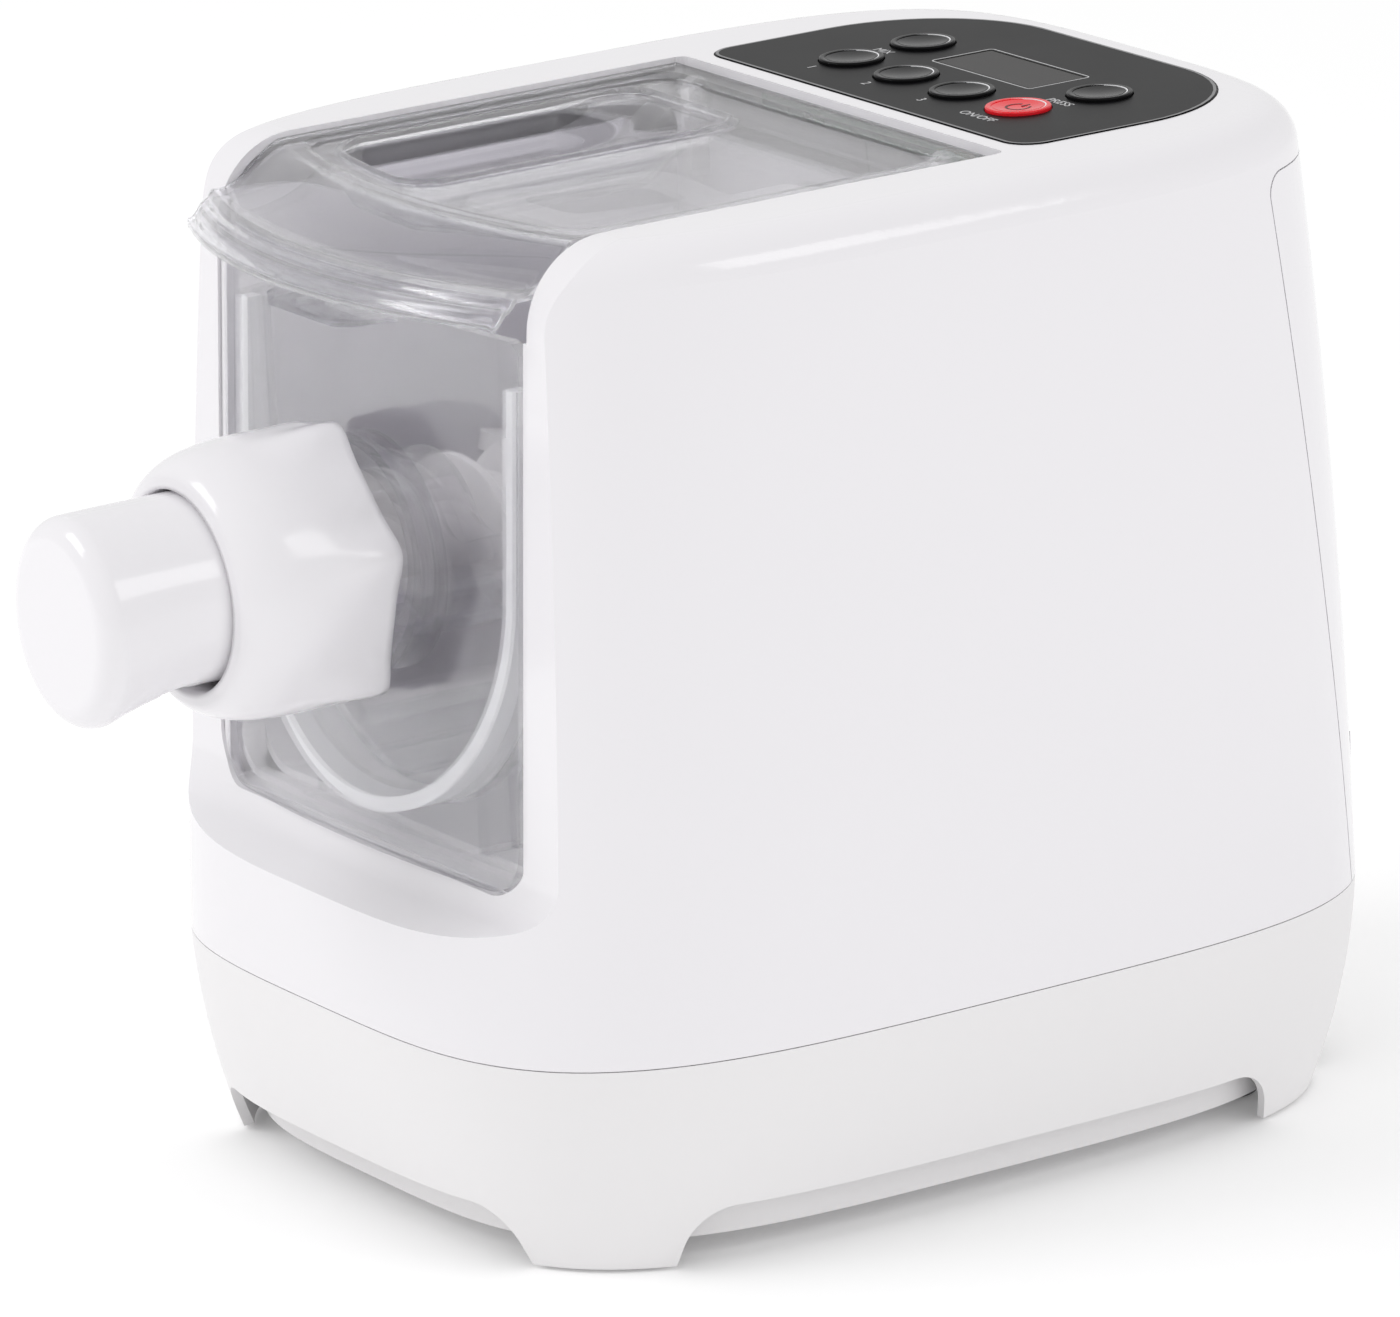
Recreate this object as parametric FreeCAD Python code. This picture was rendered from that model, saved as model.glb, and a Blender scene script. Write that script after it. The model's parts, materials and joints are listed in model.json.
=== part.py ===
"""Electric pasta maker: a white moulded housing with a clear kneading bowl in its front bay,
a mixing paddle and screw on one horizontal shaft, a round outlet nut, and a clear hinged lid."""

import FreeCAD
import Part
import math
import os

Vec = FreeCAD.Vector
os.makedirs("parts", exist_ok=True)

# ---------------------------------------------------------------- sizes, in millimetres
# Housing: a squarish oval in plan that narrows to the top and tucks in to the floor.
wall = 2.6
fit_gap = 0.3
seam_z = 59.0
top_z = 275.0
seam_half_width, seam_half_depth, seam_mid_y = 118.5, 147.0, 5.5
waist_z, waist_half_width, waist_half_depth, waist_mid_y = 165.0, 115.5, 143.0, 7.0
top_half_width, top_half_depth, top_mid_y = 108.0, 135.5, 8.0
squareness = 3.8
top_edge_radius = 12.0

# Base: four corner feet, with arches between them that show a set-back belly plate.
foot_half_width, foot_half_depth, foot_mid_y = 109.5, 135.0, 4.0
tuck_z, tuck_half_width, tuck_half_depth, tuck_mid_y = 28.0, 115.5, 143.0, 5.0
arch_half_x, arch_half_y, arch_height, arch_radius = 78.0, 98.0, 17.0, 13.0
belly_z, belly_inset = 6.5, 5.0
pad_radius, pad_height, pad_proud = 8.0, 3.0, 0.8

# Front recess: the side walls stop at a face that leans back, above a rounded chin.
face_low_y, face_low_z = -121.0, 99.0
face_top_y = -111.0
face_top_radius = 24.0
ledge_front_z, ledge_drop = 84.0, 14.0
chin_edge_radius = 7.0
rim_edge_radius = 5.0

# Bay for the bowl, open at the front and at the top.
bay_half_width, bay_floor_z, bay_back_y = 75.0, 103.0, 33.0
bay_corner_radius = 12.0
liner_wall = 2.4
liner_side_top_z, liner_back_top_z = 261.0, 256.0
lid_opening_back_y, lid_opening_radius = 38.5, 2.5

# Shaft line shared by the drive, the paddle, the screw and the outlet.
shaft_z = 179.0
shaft_radius, shaft_square = 7.0, 8.0
running_gap = 0.05

# Bowl: a drum floor on the shaft line with straight sides above.
bowl_radius, bowl_wall = 66.0, 2.4
bowl_front_y, bowl_back_y, bowl_top_z = -107.0, 28.0, 236.0
bowl_rim_width, bowl_rim_height = 4.0, 3.0

# Clear front panel, bowed forward and leaning back with the housing's face.
panel_half_width, panel_thickness, panel_bow = 74.0, 3.0, 6.0
panel_bottom_z, panel_top_z = 101.0, 249.0
panel_corner_radius = 12.0
tab_half_width, tab_reach, tab_thickness = 24.0, 16.0, 2.6
boss_radius, boss_front_y, dough_bore_radius = 33.0, -152.0, 22.5

# Screw barrel behind the panel.
barrel_wall, barrel_back_y, barrel_inlet_depth = 2.6, -62.0, 34.0

# Outlet: die, hood and nut.
die_radius, die_thickness = 32.0, 5.0
hood_radius, hood_tip_radius, hood_wall = 27.0, 26.0, 2.0
hood_flange_radius, hood_flange = 32.0, 3.0
hood_tip_y, hood_tip_round = -212.0, 6.5
nut_back_y, nut_front_y = -130.0, -175.0
nut_radius, nut_ridge_height, nut_ridge_width = 38.0, 4.2, 6.0
nut_ridge_count, nut_ridge_angle, nut_ridge_foot = 6, 14.0, 11.0
nut_shoulder_length, nut_nose_radius, nut_bulge = 24.0, 29.5, 0.6

# Drive train behind the bay.
stage_one_module, stage_one_pinion_teeth, stage_one_gear_teeth = 1.25, 12, 48
stage_two_module, stage_two_pinion_teeth, stage_two_gear_teeth = 1.5, 12, 54
tooth_share = 0.38
gear_face = 9.0
front_plate_y, plate_thickness, plate_spacing = 40.0, 3.0, 34.0
plate_half_width = 52.0
axle_radius, motor_shaft_radius = 3.0, 2.5
motor_radius, motor_length = 33.0, 44.0
fan_radius, fan_thickness, fan_blades = 27.0, 7.0, 7
bearing_radius, bearing_width = 12.0, 6.0

# Screw and paddle.
screw_core_radius, screw_pitch, screw_flight = 9.0, 22.0, 3.0
screw_gap = 0.9
hub_radius, hub_neck_radius = 12.0, 8.0
paddle_reach, paddle_thickness = 57.0, 5.0
paddle_front_y, paddle_back_y = -52.0, 18.0

# Control panel, its six keys and the display.
fascia_half_width, fascia_front_y, fascia_back_y = 77.0, 44.0, 129.5
fascia_thickness, fascia_proud = 1.4, 0.3
fascia_front_radius, fascia_back_radius = 9.0, 44.0
key_radius, key_gap, key_proud, key_dome = 9.0, 0.3, 1.0, 0.7
key_flange, key_flange_thickness, key_travel = 1.6, 1.5, 0.8
key_pitch, key_front_row_y, key_back_row_y, key_back_row_x = 26.6, 68.8, 94.0, 42.0
display_half_width, display_depth, display_mid_y = 22.5, 18.5, 94.0
board_z, board_thickness = 261.5, 1.6

# Lid: a clear sheet that drops at the front into a bowed lip, with a sunk pouring tray.
lid_half_width, lid_thickness, lid_top_z = 76.6, 2.8, 274.4
lid_back_y, lid_front_y, lid_lip_bow = 34.4, -122.0, 17.0
lid_drop_start_y, lid_lip_z, lid_lip_length = -92.0, 254.0, 9.0
lid_rim_width, lid_rim_bottom_z = 3.4, 262.0
tray_half_width, tray_depth, tray_front_y, tray_back_y = 50.0, 9.0, -78.0, 12.0
hinge_y, hinge_z, hinge_pin_radius = 30.0, 267.0, 2.0
bracket_width = 4.0

# Rear cover joint, vents and inlet.
rear_seam_top_y, rear_seam_low_y, rear_cover_top_z, cover_gap = 107.0, 131.0, 261.0, 0.4
vent_rows, vent_low_z, vent_pitch, vent_height, vent_length, vent_mid_x = 9, 150.0, 8.0, 3.2, 42.0, 30.0
inlet_x, inlet_z, inlet_width, inlet_height = 60.0, 85.0, 22.0, 14.0
inlet_face_y, inlet_depth = 130.0, 20.0

# Joints, rails and small fits.
seam_gap = 0.3
arch_flare = 7.0
belly_flare, belly_top_z, belly_wall, belly_flange = 3.0, 26.0, 2.4, 2.4
pad_x, pad_y = 76.0, 98.0
screw_hole_radius, screw_head_radius, screw_head_height = 1.7, 3.4, 2.4
liner_front_y, lid_clear_y = -108.0, 20.0
field_half_width, field_low_z, field_high_z, field_radius, field_proud = 44.0, 132.0, 232.0, 20.0, 1.6
seal_radius = 11.0
rail_x, rail_width, rail_groove = 38.0, 5.0, 6.4
lug_back_y, lug_length, lug_height = -136.0, 5.0, 1.4
barrel_flange_y = -112.0
die_front_y = boss_front_y - fit_gap - die_thickness
die_hole_radius = 2.2
hood_back_y = die_front_y - fit_gap
hood_lip_start_y, hood_lip_drop = -191.0, 8.0
mouth_half_width, mouth_front_y, mouth_back_y = 14.5, -190.0, -178.0
socket_clearance, socket_front_y, neck_back_y = 0.1, 2.0, 31.0
screw_front_y = -150.0
addendum, dedendum, backlash = 0.85, 1.2, 0.25
idler_angle, motor_angle = -125.0, -62.0
motor_boss_radius, post_screw_radius = 8.0, 1.6
plate_low_z, plate_high_z, post_inset = 80.0, 226.0, 7.5
board_half_width, board_back_y = 62.0, 112.0
switch_height = 4.0
switch_x = 66.0
hinge_x = 60.0
lid_front_round, lip_clearance = 15.0, 1.5

# The part's origin is under the middle of its length, hood tip to back.
back_y = seam_mid_y + seam_half_depth
shift_y = -(hood_tip_y + back_y) / 2


# ---------------------------------------------------------------- shared shapes
def box(low, high):
    size = [b - a for a, b in zip(low, high)]
    return Part.makeBox(*size, Vec(*low))


def rod(radius, y_from, y_to, x=0.0, z=shaft_z):
    """A round bar along Y."""
    low = min(y_from, y_to)
    return Part.makeCylinder(radius, abs(y_to - y_from), Vec(x, low, z), Vec(0, 1, 0))


def tube(outer, inner, y_from, y_to, x=0.0, z=shaft_z):
    return rod(outer, y_from, y_to, x, z).cut(rod(inner, y_from, y_to, x, z))


def post(radius, x, y, z_from, z_to):
    """A round bar along Z."""
    return Part.makeCylinder(radius, z_to - z_from, Vec(x, y, z_from))


def square_bar(across, y_from, y_to):
    half = across / 2
    return box((-half, min(y_from, y_to), shaft_z - half), (half, max(y_from, y_to), shaft_z + half))


def rounded_wire(corners, to_point):
    """A closed wire through (u, v, radius) corners, each rounded by a tangent arc."""
    places = [to_point(u, v) for u, v, _ in corners]
    edges, ends = [], []
    for i, (_, _, radius) in enumerate(corners):
        here, before, after = places[i], places[i - 1], places[(i + 1) % len(places)]
        if radius <= 0:
            ends.append((here, here))
            continue
        to_before = (before - here).normalize()
        to_after = (after - here).normalize()
        half_angle = to_before.getAngle(to_after) / 2
        reach = radius / math.tan(half_angle)
        start, stop = here + to_before * reach, here + to_after * reach
        bisector = (to_before + to_after).normalize()
        middle = here + bisector * (radius / math.sin(half_angle) - radius)
        edges.append((i, Part.Arc(start, middle, stop).toShape()))
        ends.append((start, stop))
    arcs = dict(edges)
    path = []
    for i, (_, stop) in enumerate(ends):
        if i in arcs:
            path.append(arcs[i])
        following = ends[(i + 1) % len(ends)][0]
        if (following - stop).Length > 1e-6:
            path.append(Part.LineSegment(stop, following).toShape())
    return Part.Wire(path)


def plan_point(z):
    return lambda u, v: Vec(u, v, z)


def side_point(x):
    return lambda u, v: Vec(x, u, v)


def front_point(y):
    return lambda u, v: Vec(u, y, v)


def prism(wire, direction):
    return Part.Face(wire).extrude(direction)


def plan_block(corners, z_from, z_to):
    return prism(rounded_wire(corners, plan_point(z_from)), Vec(0, 0, z_to - z_from))


def closed_curve(points):
    curve = Part.BSplineCurve()
    curve.interpolate(Points=points, PeriodicFlag=True)
    return Part.Wire(curve.toShape())


def oval(half_width, half_depth, mid_y, z, steps=40):
    """A squarish oval at one height, by polar angle."""
    points = []
    for i in range(steps):
        angle = 2 * math.pi * i / steps
        across = abs(math.cos(angle) / half_width) ** squareness
        along = abs(math.sin(angle) / half_depth) ** squareness
        radius = (across + along) ** (-1 / squareness)
        points.append(Vec(radius * math.cos(angle), mid_y + radius * math.sin(angle), z))
    return closed_curve(points)


def upper_body(inset, bottom_z, roof_z):
    """The housing's outer form, or its hollow when inset by the wall."""
    sections = [
        oval(seam_half_width - inset, seam_half_depth - inset, seam_mid_y, bottom_z),
        oval(waist_half_width - inset, waist_half_depth - inset, waist_mid_y, waist_z),
        oval(top_half_width - inset, top_half_depth - inset, top_mid_y, roof_z),
    ]
    body = Part.makeLoft(sections, True, False)
    rim = [e for e in body.Edges if abs(e.BoundBox.ZMin - roof_z) < 0.01 and e.BoundBox.ZLength < 0.01]
    return body.makeFillet(top_edge_radius - inset, rim)


def side_profile(inset, extra):
    """Side view of the housing's front: leaning face, ledge and chin. Everything behind it stays."""
    reach = seam_half_width + 20
    face_lean = (face_top_y - face_low_y) / (top_z - face_low_z)
    high_z = top_z + extra
    corners = [
        (face_low_y + inset - 60, ledge_front_z - ledge_drop - inset, 0),
        (face_low_y + inset, face_low_z - inset, 16.0),
        (face_low_y + inset + face_lean * (top_z - inset - face_low_z), top_z - inset, face_top_radius - inset),
        (back_y + 30, top_z - inset, 0),
        (back_y + 30, seam_z - 10, 0),
        (face_low_y + inset - 60, seam_z - 10, 0),
    ]
    return prism(rounded_wire(corners, side_point(-reach)), Vec(2 * reach, 0, 0))


# ---------------------------------------------------------------- housing
def fascia_corners(inset, grow=0.0):
    half = fascia_half_width - inset
    return [
        (-half, fascia_front_y + inset, fascia_front_radius),
        (half, fascia_front_y + inset, fascia_front_radius),
        (half, fascia_back_y - inset, fascia_back_radius),
        (-half, fascia_back_y - inset, fascia_back_radius),
    ]


def key_places():
    """Name and place of each key."""
    row = ["key_one_cup", "key_two_cups", "key_three_cups", "key_power"]
    places = {}
    for i, name in enumerate(row):
        places[name] = ((i - 1.5) * key_pitch, key_front_row_y)
    places["key_knead"] = (-key_back_row_x, key_back_row_y)
    places["key_extrude"] = (key_back_row_x, key_back_row_y)
    return places


def bay_hollow(grow, back_grow, floor_z):
    """The space of the bay, open forwards and upwards."""
    half = bay_half_width + grow
    corners = [
        (-half, top_z + 30, 0),
        (-half, floor_z, bay_corner_radius + grow),
        (half, floor_z, bay_corner_radius + grow),
        (half, top_z + 30, 0),
    ]
    wire = rounded_wire(corners, front_point(bay_back_y + back_grow))
    return prism(wire, Vec(0, -(bay_back_y + back_grow) + face_low_y - 80, 0))


def upper_shell():
    outer = upper_body(0.0, seam_z, top_z).common(side_profile(0.0, 0.0))
    hollow = upper_body(wall, seam_z - 0.01, top_z - wall).common(side_profile(wall, 0.0))
    shell = outer.cut(hollow)
    shell = shell.cut(bay_hollow(liner_wall + fit_gap, liner_wall + fit_gap, bay_floor_z - liner_wall - fit_gap))
    lid_slot = plan_block(
        [
            (-bay_half_width - liner_wall, 0, 0),
            (bay_half_width + liner_wall, 0, 0),
            (bay_half_width + liner_wall, lid_opening_back_y, lid_opening_radius),
            (-bay_half_width - liner_wall, lid_opening_back_y, lid_opening_radius),
        ],
        top_z - 8,
        top_z + 5,
    )
    shell = shell.cut(lid_slot)
    seat = plan_block(fascia_corners(-0.1), top_z + fascia_proud - fascia_thickness, top_z + 5)
    shell = shell.cut(seat)
    for x, y in key_places().values():
        shell = shell.cut(post(key_radius + key_gap, x, y, top_z - 10, top_z + 5))
    window = box(
        (-display_half_width, display_mid_y - display_depth / 2, top_z - 10),
        (display_half_width, display_mid_y + display_depth / 2, top_z + 5),
    )
    return shell.cut(window)


def rear_cover_region(gap):
    """Everything behind the slanted joint of the rear cover."""
    top_y, low_y = rear_seam_top_y + gap, rear_seam_low_y + gap
    corners = [
        (low_y, seam_z - 5, 0),
        (top_y, rear_cover_top_z - gap, 6.0),
        (back_y + 20, rear_cover_top_z - gap, 0),
        (back_y + 20, seam_z - 5, 0),
    ]
    reach = seam_half_width + 10
    return prism(rounded_wire(corners, side_point(-reach)), Vec(2 * reach, 0, 0))


def housing_pieces():
    """Front shell and rear cover, parted on the slanted joint."""
    whole = upper_shell()
    front = whole.cut(rear_cover_region(0.0))
    rear = whole.common(rear_cover_region(cover_gap))
    for row in range(vent_rows):
        z = vent_low_z + row * vent_pitch
        for side in (-1, 1):
            middle = side * vent_mid_x
            slot = box(
                (middle - vent_length / 2, back_y - 30, z),
                (middle + vent_length / 2, back_y + 10, z + vent_height),
            )
            rear = rear.cut(slot)
    inlet = box(
        (inlet_x - inlet_width / 2 - 0.1, back_y - 30, inlet_z - inlet_height / 2 - 0.1),
        (inlet_x + inlet_width / 2 + 0.1, back_y + 10, inlet_z + inlet_height / 2 + 0.1),
    )
    return front, rear.cut(inlet)


def base_form(inset, z_from, z_to):
    """The base's outer form between two heights; it swells from the floor to the joint."""
    def section(z):
        if z < tuck_z:
            share = z / tuck_z
            sizes = [
                foot_half_width + share * (tuck_half_width - foot_half_width),
                foot_half_depth + share * (tuck_half_depth - foot_half_depth),
                foot_mid_y + share * (tuck_mid_y - foot_mid_y),
            ]
        else:
            share = (z - tuck_z) / (seam_z - tuck_z)
            sizes = [
                tuck_half_width + share * (seam_half_width - tuck_half_width),
                tuck_half_depth + share * (seam_half_depth - tuck_half_depth),
                tuck_mid_y + share * (seam_mid_y - tuck_mid_y),
            ]
        return oval(sizes[0] - inset, sizes[1] - inset, sizes[2], z)

    return Part.makeLoft([section(z_from), section(tuck_z), section(z_to)], True, False)


def base_shell():
    shell = base_form(0.0, pad_proud, seam_z - seam_gap)
    shell = shell.cut(base_form(wall, pad_proud - 0.01, seam_z - seam_gap + 0.01))
    across = [
        (-arch_half_x, -20, 0),
        (-arch_half_x + arch_flare, arch_height, arch_radius),
        (arch_half_x - arch_flare, arch_height, arch_radius),
        (arch_half_x, -20, 0),
    ]
    along = [
        (-arch_half_y, -20, 0),
        (-arch_half_y + arch_flare, arch_height, arch_radius),
        (arch_half_y - arch_flare, arch_height, arch_radius),
        (arch_half_y, -20, 0),
    ]
    shell = shell.cut(prism(rounded_wire(across, front_point(-200)), Vec(0, 400, 0)))
    return shell.cut(prism(rounded_wire(along, side_point(-200)), Vec(400, 0, 0)))


def belly_tub():
    """The set-back floor of the machine, seen through the arches."""
    low = (foot_half_width - belly_inset, foot_half_depth - belly_inset)
    high = (low[0] + belly_flare, low[1] + belly_flare)

    def form(inset, z_low):
        lower = oval(low[0] - inset, low[1] - inset, foot_mid_y, z_low)
        upper = oval(high[0] - inset, high[1] - inset, foot_mid_y, belly_top_z)
        return Part.makeLoft([lower, upper], True, False)

    tub = form(0.0, belly_z)
    flange = base_form(wall + fit_gap / 2, belly_top_z - belly_flange - 6, belly_top_z + 6)
    slab = box((-200, -200, belly_top_z - belly_flange), (200, 200, belly_top_z))
    tub = tub.fuse(flange.common(slab)).cut(form(belly_wall, belly_z + belly_wall))
    for x, y in pad_places():
        tub = tub.cut(post(screw_hole_radius, x, y, 0, belly_z + belly_wall + 1))
    return tub


def pad_places():
    return [(sx * pad_x, foot_mid_y + sy * pad_y) for sx in (-1, 1) for sy in (-1, 1)]


def foot_pads():
    pads = []
    for x, y in pad_places():
        pad = post(pad_radius, x, y, 0, belly_z)
        pad = pad.makeFillet(1.5, [e for e in pad.Edges if abs(e.BoundBox.ZMax) < 0.01])
        pads.append(pad.cut(post(screw_head_radius + 0.5, x, y, -1, screw_head_height + 1.5)))
    return [p.cut(post(screw_hole_radius, x, y, 0, 9)) for p, (x, y) in zip(pads, pad_places())]


def foot_screws():
    screws = []
    for x, y in pad_places():
        head = post(screw_head_radius, x, y, 1.2, 1.2 + screw_head_height)
        shank = post(screw_hole_radius - 0.1, x, y, 1.2, belly_z + belly_wall + 6)
        slot = box((x - 2, y - 0.4, 1.0), (x + 2, y + 0.4, 2.0))
        screws.append(head.fuse(shank).cut(slot))
    return screws


def bay_liner():
    """White lining of the bay: floor, two sides and a back with a raised, rounded field."""
    half = bay_half_width + liner_wall
    corner = bay_corner_radius + liner_wall
    outer = prism(
        rounded_wire(
            [
                (-half, liner_side_top_z, 0),
                (-half, bay_floor_z - liner_wall, corner),
                (half, bay_floor_z - liner_wall, corner),
                (half, liner_side_top_z, 0),
            ],
            front_point(liner_front_y),
        ),
        Vec(0, bay_back_y + liner_wall - liner_front_y, 0),
    )
    liner = outer.cut(bay_hollow(0.0, 0.0, bay_floor_z))
    low_back = box((-half, lid_clear_y, liner_back_top_z), (half, bay_back_y + 10, liner_side_top_z + 1))
    liner = liner.cut(low_back)
    field = rounded_wire(
        [
            (-field_half_width, field_low_z, field_radius),
            (-field_half_width, field_high_z, field_radius),
            (field_half_width, field_high_z, field_radius),
            (field_half_width, field_low_z, field_radius),
        ],
        front_point(bay_back_y - field_proud),
    )
    liner = liner.fuse(prism(field, Vec(0, field_proud + 0.5, 0)))
    liner = liner.cut(rod(seal_radius, -50, bay_back_y + 20))
    for x in (-rail_x, rail_x):
        slot = box((x - rail_groove / 2, liner_front_y, bay_floor_z - 1.2), (x + rail_groove / 2, bay_back_y, bay_floor_z + 1))
        liner = liner.cut(slot)
    return liner.removeSplitter()


# ---------------------------------------------------------------- bowl and front panel
def drum(radius, z_top, y_from, y_to):
    """U-shaped block: round below the shaft line, straight above it."""
    lower = rod(radius, y_from, y_to)
    upper = box((-radius, y_from, shaft_z), (radius, y_to, z_top))
    lower = lower.common(box((-radius, y_from, shaft_z - radius), (radius, y_to, shaft_z)))
    return lower.fuse(upper).removeSplitter()


def mixing_bowl():
    bowl = drum(bowl_radius, bowl_top_z, bowl_front_y, bowl_back_y)
    rim = drum(bowl_radius + bowl_rim_width, bowl_top_z, bowl_front_y, bowl_front_y + bowl_rim_height)
    top_rim = box(
        (-bowl_radius - bowl_rim_width, bowl_front_y, bowl_top_z - bowl_rim_height),
        (bowl_radius + bowl_rim_width, bowl_back_y, bowl_top_z),
    )
    bowl = bowl.fuse([rim, top_rim])
    for x in (-rail_x, rail_x):
        drop = math.sqrt(bowl_radius ** 2 - rail_x ** 2) - 1.5
        rail = box((x - rail_width / 2, bowl_front_y + 8, bay_floor_z - 0.9), (x + rail_width / 2, bowl_back_y - 6, shaft_z - drop))
        bowl = bowl.fuse(rail)
    hollow = drum(bowl_radius - bowl_wall, bowl_top_z + 1, bowl_front_y - 1, bowl_back_y - bowl_wall)
    bowl = bowl.cut(hollow)
    return bowl.cut(rod(hub_neck_radius + running_gap, bowl_back_y - 9, bowl_back_y + 1)).removeSplitter()


def panel_front(z):
    """Front of the panel at its sides, at a given height."""
    lean = (face_top_y - face_low_y) / (top_z - face_low_z)
    return face_low_y + 0.5 + lean * (z - face_low_z)


def panel_form(inset):
    """Solid behind the panel's bowed, leaning front, set back by an inset."""
    sections = []
    for z in (panel_bottom_z - 10, panel_top_z + 10):
        y = panel_front(z) + inset
        left, right = Vec(-panel_half_width - 5, y, z), Vec(panel_half_width + 5, y, z)
        middle = Vec(0, y - panel_bow, z)
        arc = Part.Arc(left, middle, right).toShape()
        back_left, back_right = Vec(left.x, 0, z), Vec(right.x, 0, z)
        lines = [
            Part.LineSegment(right, back_right).toShape(),
            Part.LineSegment(back_right, back_left).toShape(),
            Part.LineSegment(back_left, left).toShape(),
        ]
        sections.append(Part.Wire([arc] + lines))
    return Part.makeLoft(sections, True, True)


def panel_outline(grow):
    half = panel_half_width + grow
    wire = rounded_wire(
        [
            (-half, panel_bottom_z - grow, panel_corner_radius),
            (-half, panel_top_z + grow, 5.0),
            (half, panel_top_z + grow, 5.0),
            (half, panel_bottom_z - grow, panel_corner_radius),
        ],
        front_point(-200),
    )
    return prism(wire, Vec(0, 200, 0))


def front_panel():
    """Clear bowed panel with the outlet boss and a stepped finger tab on its top edge."""
    panel = panel_form(0.0).cut(panel_form(panel_thickness)).common(panel_outline(0.0))
    boss = rod(boss_radius, boss_front_y, -100).common(panel_front_side())
    panel = panel.fuse(boss.fuse(boss_lugs()))
    middle_y = panel_front(panel_top_z) - panel_bow
    for step in range(3):
        half = tab_half_width - 5 * step
        reach = tab_reach - 4.0 * step
        corners = [
            (-half, middle_y + 2.5, 0),
            (half, middle_y + 2.5, 0),
            (half - 4, middle_y - reach, 7.0),
            (-half + 4, middle_y - reach, 7.0),
        ]
        low = panel_top_z - tab_thickness - 1.2 * step
        panel = panel.fuse(plan_block(corners, low, low + 1.4 if step else panel_top_z))
    panel = panel.cut(rod(dough_bore_radius, -200, -90))
    return panel.removeSplitter()


def panel_front_side():
    """Everything in front of the panel's inner face."""
    return box((-100, -220, 80), (100, -90, 280)).cut(panel_form(panel_thickness))


def boss_lugs():
    """Two lugs on the boss that the nut locks behind."""
    lugs = []
    for angle in (90, 270):
        lug = box((-8, lug_back_y - lug_length, shaft_z), (8, lug_back_y, shaft_z + boss_radius + lug_height))
        lug = lug.common(rod(boss_radius + lug_height, lug_back_y - lug_length, lug_back_y))
        lug.rotate(Vec(0, 0, shaft_z), Vec(0, 1, 0), angle)
        lugs.append(lug)
    return lugs


def bowl_seal():
    """Soft strip between the bowl's front rim and the panel."""
    outer = drum(bowl_radius + 3.0, bowl_top_z - 1, -130, bowl_front_y - seam_gap)
    inner = drum(bowl_radius - 1.0, bowl_top_z + 5, -131, bowl_front_y)
    return outer.cut(inner).common(panel_form(panel_thickness + 0.2))


def screw_barrel():
    outer = dough_bore_radius + barrel_wall
    barrel = rod(outer, -130, barrel_back_y)
    flange = rod(outer + 7, -130, barrel_flange_y)
    barrel = barrel.fuse(flange).common(panel_form(panel_thickness + 0.2))
    barrel = barrel.cut(rod(dough_bore_radius, -140, barrel_back_y + 1))
    mouth_depth = outer - 4
    mouth = box(
        (-outer - 1, barrel_back_y - barrel_inlet_depth, shaft_z + outer - mouth_depth),
        (outer + 1, barrel_back_y + 1, shaft_z + outer + 1),
    )
    edge_x = [e for e in mouth.Edges if e.BoundBox.XLength > outer and abs(e.BoundBox.YMin - e.BoundBox.YMax) < 0.1]
    low_front = [e for e in edge_x if e.BoundBox.ZMax < shaft_z + 10 and e.BoundBox.YMax < barrel_back_y - 10]
    return barrel.cut(mouth.makeFillet(9.0, low_front))


# ---------------------------------------------------------------- outlet
def pasta_die():
    die = rod(die_radius, die_front_y, die_front_y + die_thickness)
    recess = rod(dough_bore_radius, die_front_y + die_thickness - 1.5, die_front_y + die_thickness + 1)
    die = die.cut(recess)
    for ring, count in ((7.0, 5), (15.0, 10)):
        for i in range(count):
            angle = 2 * math.pi * i / count
            x, z = ring * math.cos(angle), shaft_z + ring * math.sin(angle)
            die = die.cut(rod(die_hole_radius, die_front_y - 1, die_front_y + 9, x, z))
    return die.cut(rod(die_hole_radius, die_front_y - 1, die_front_y + 9))


def hood_body(inset):
    """Body of the hood: a tube whose tip deepens downwards into a lip; its hollow when inset."""
    back = hood_back_y + (1 if inset else 0)
    tip = hood_tip_y + inset
    slope = (hood_radius - hood_tip_radius) / (hood_back_y - hood_tip_y)
    end_radius = hood_radius - slope * (hood_back_y - hood_lip_start_y) - inset
    half_drop = hood_lip_drop / 2

    def ring(y, half_width, half_height, centre_z):
        curve = Part.Ellipse(Vec(0, y, centre_z + half_height), Vec(half_width, y, centre_z), Vec(0, y, centre_z))
        return Part.Wire(curve.toShape())

    deep = hood_tip_radius - inset
    sections = [
        ring(back, hood_radius - inset, hood_radius - inset + 0.001, shaft_z),
        ring(hood_lip_start_y, end_radius, end_radius + 0.001, shaft_z),
        ring(hood_lip_start_y - 6.0, end_radius - 0.1, end_radius + 0.2 * half_drop, shaft_z - 0.2 * half_drop),
        ring(tip, deep, deep + half_drop, shaft_z - half_drop),
    ]
    lip = Part.makeLoft(sections, True, False)
    rim = [e for e in lip.Edges if e.BoundBox.YMax < tip + 0.1]
    return lip.makeFillet(hood_tip_round - inset, rim)


def outlet_hood():
    """Guide over the die: closed tip with a drooping lip, and an open underside behind it."""
    flange = rod(hood_flange_radius, hood_back_y, hood_back_y - hood_flange)
    hood = hood_body(0.0).fuse(flange).cut(hood_body(hood_wall))
    mouth = box(
        (-mouth_half_width, mouth_front_y, shaft_z - 2 * hood_radius),
        (mouth_half_width, mouth_back_y, shaft_z - 6),
    )
    return hood.cut(mouth)


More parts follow.
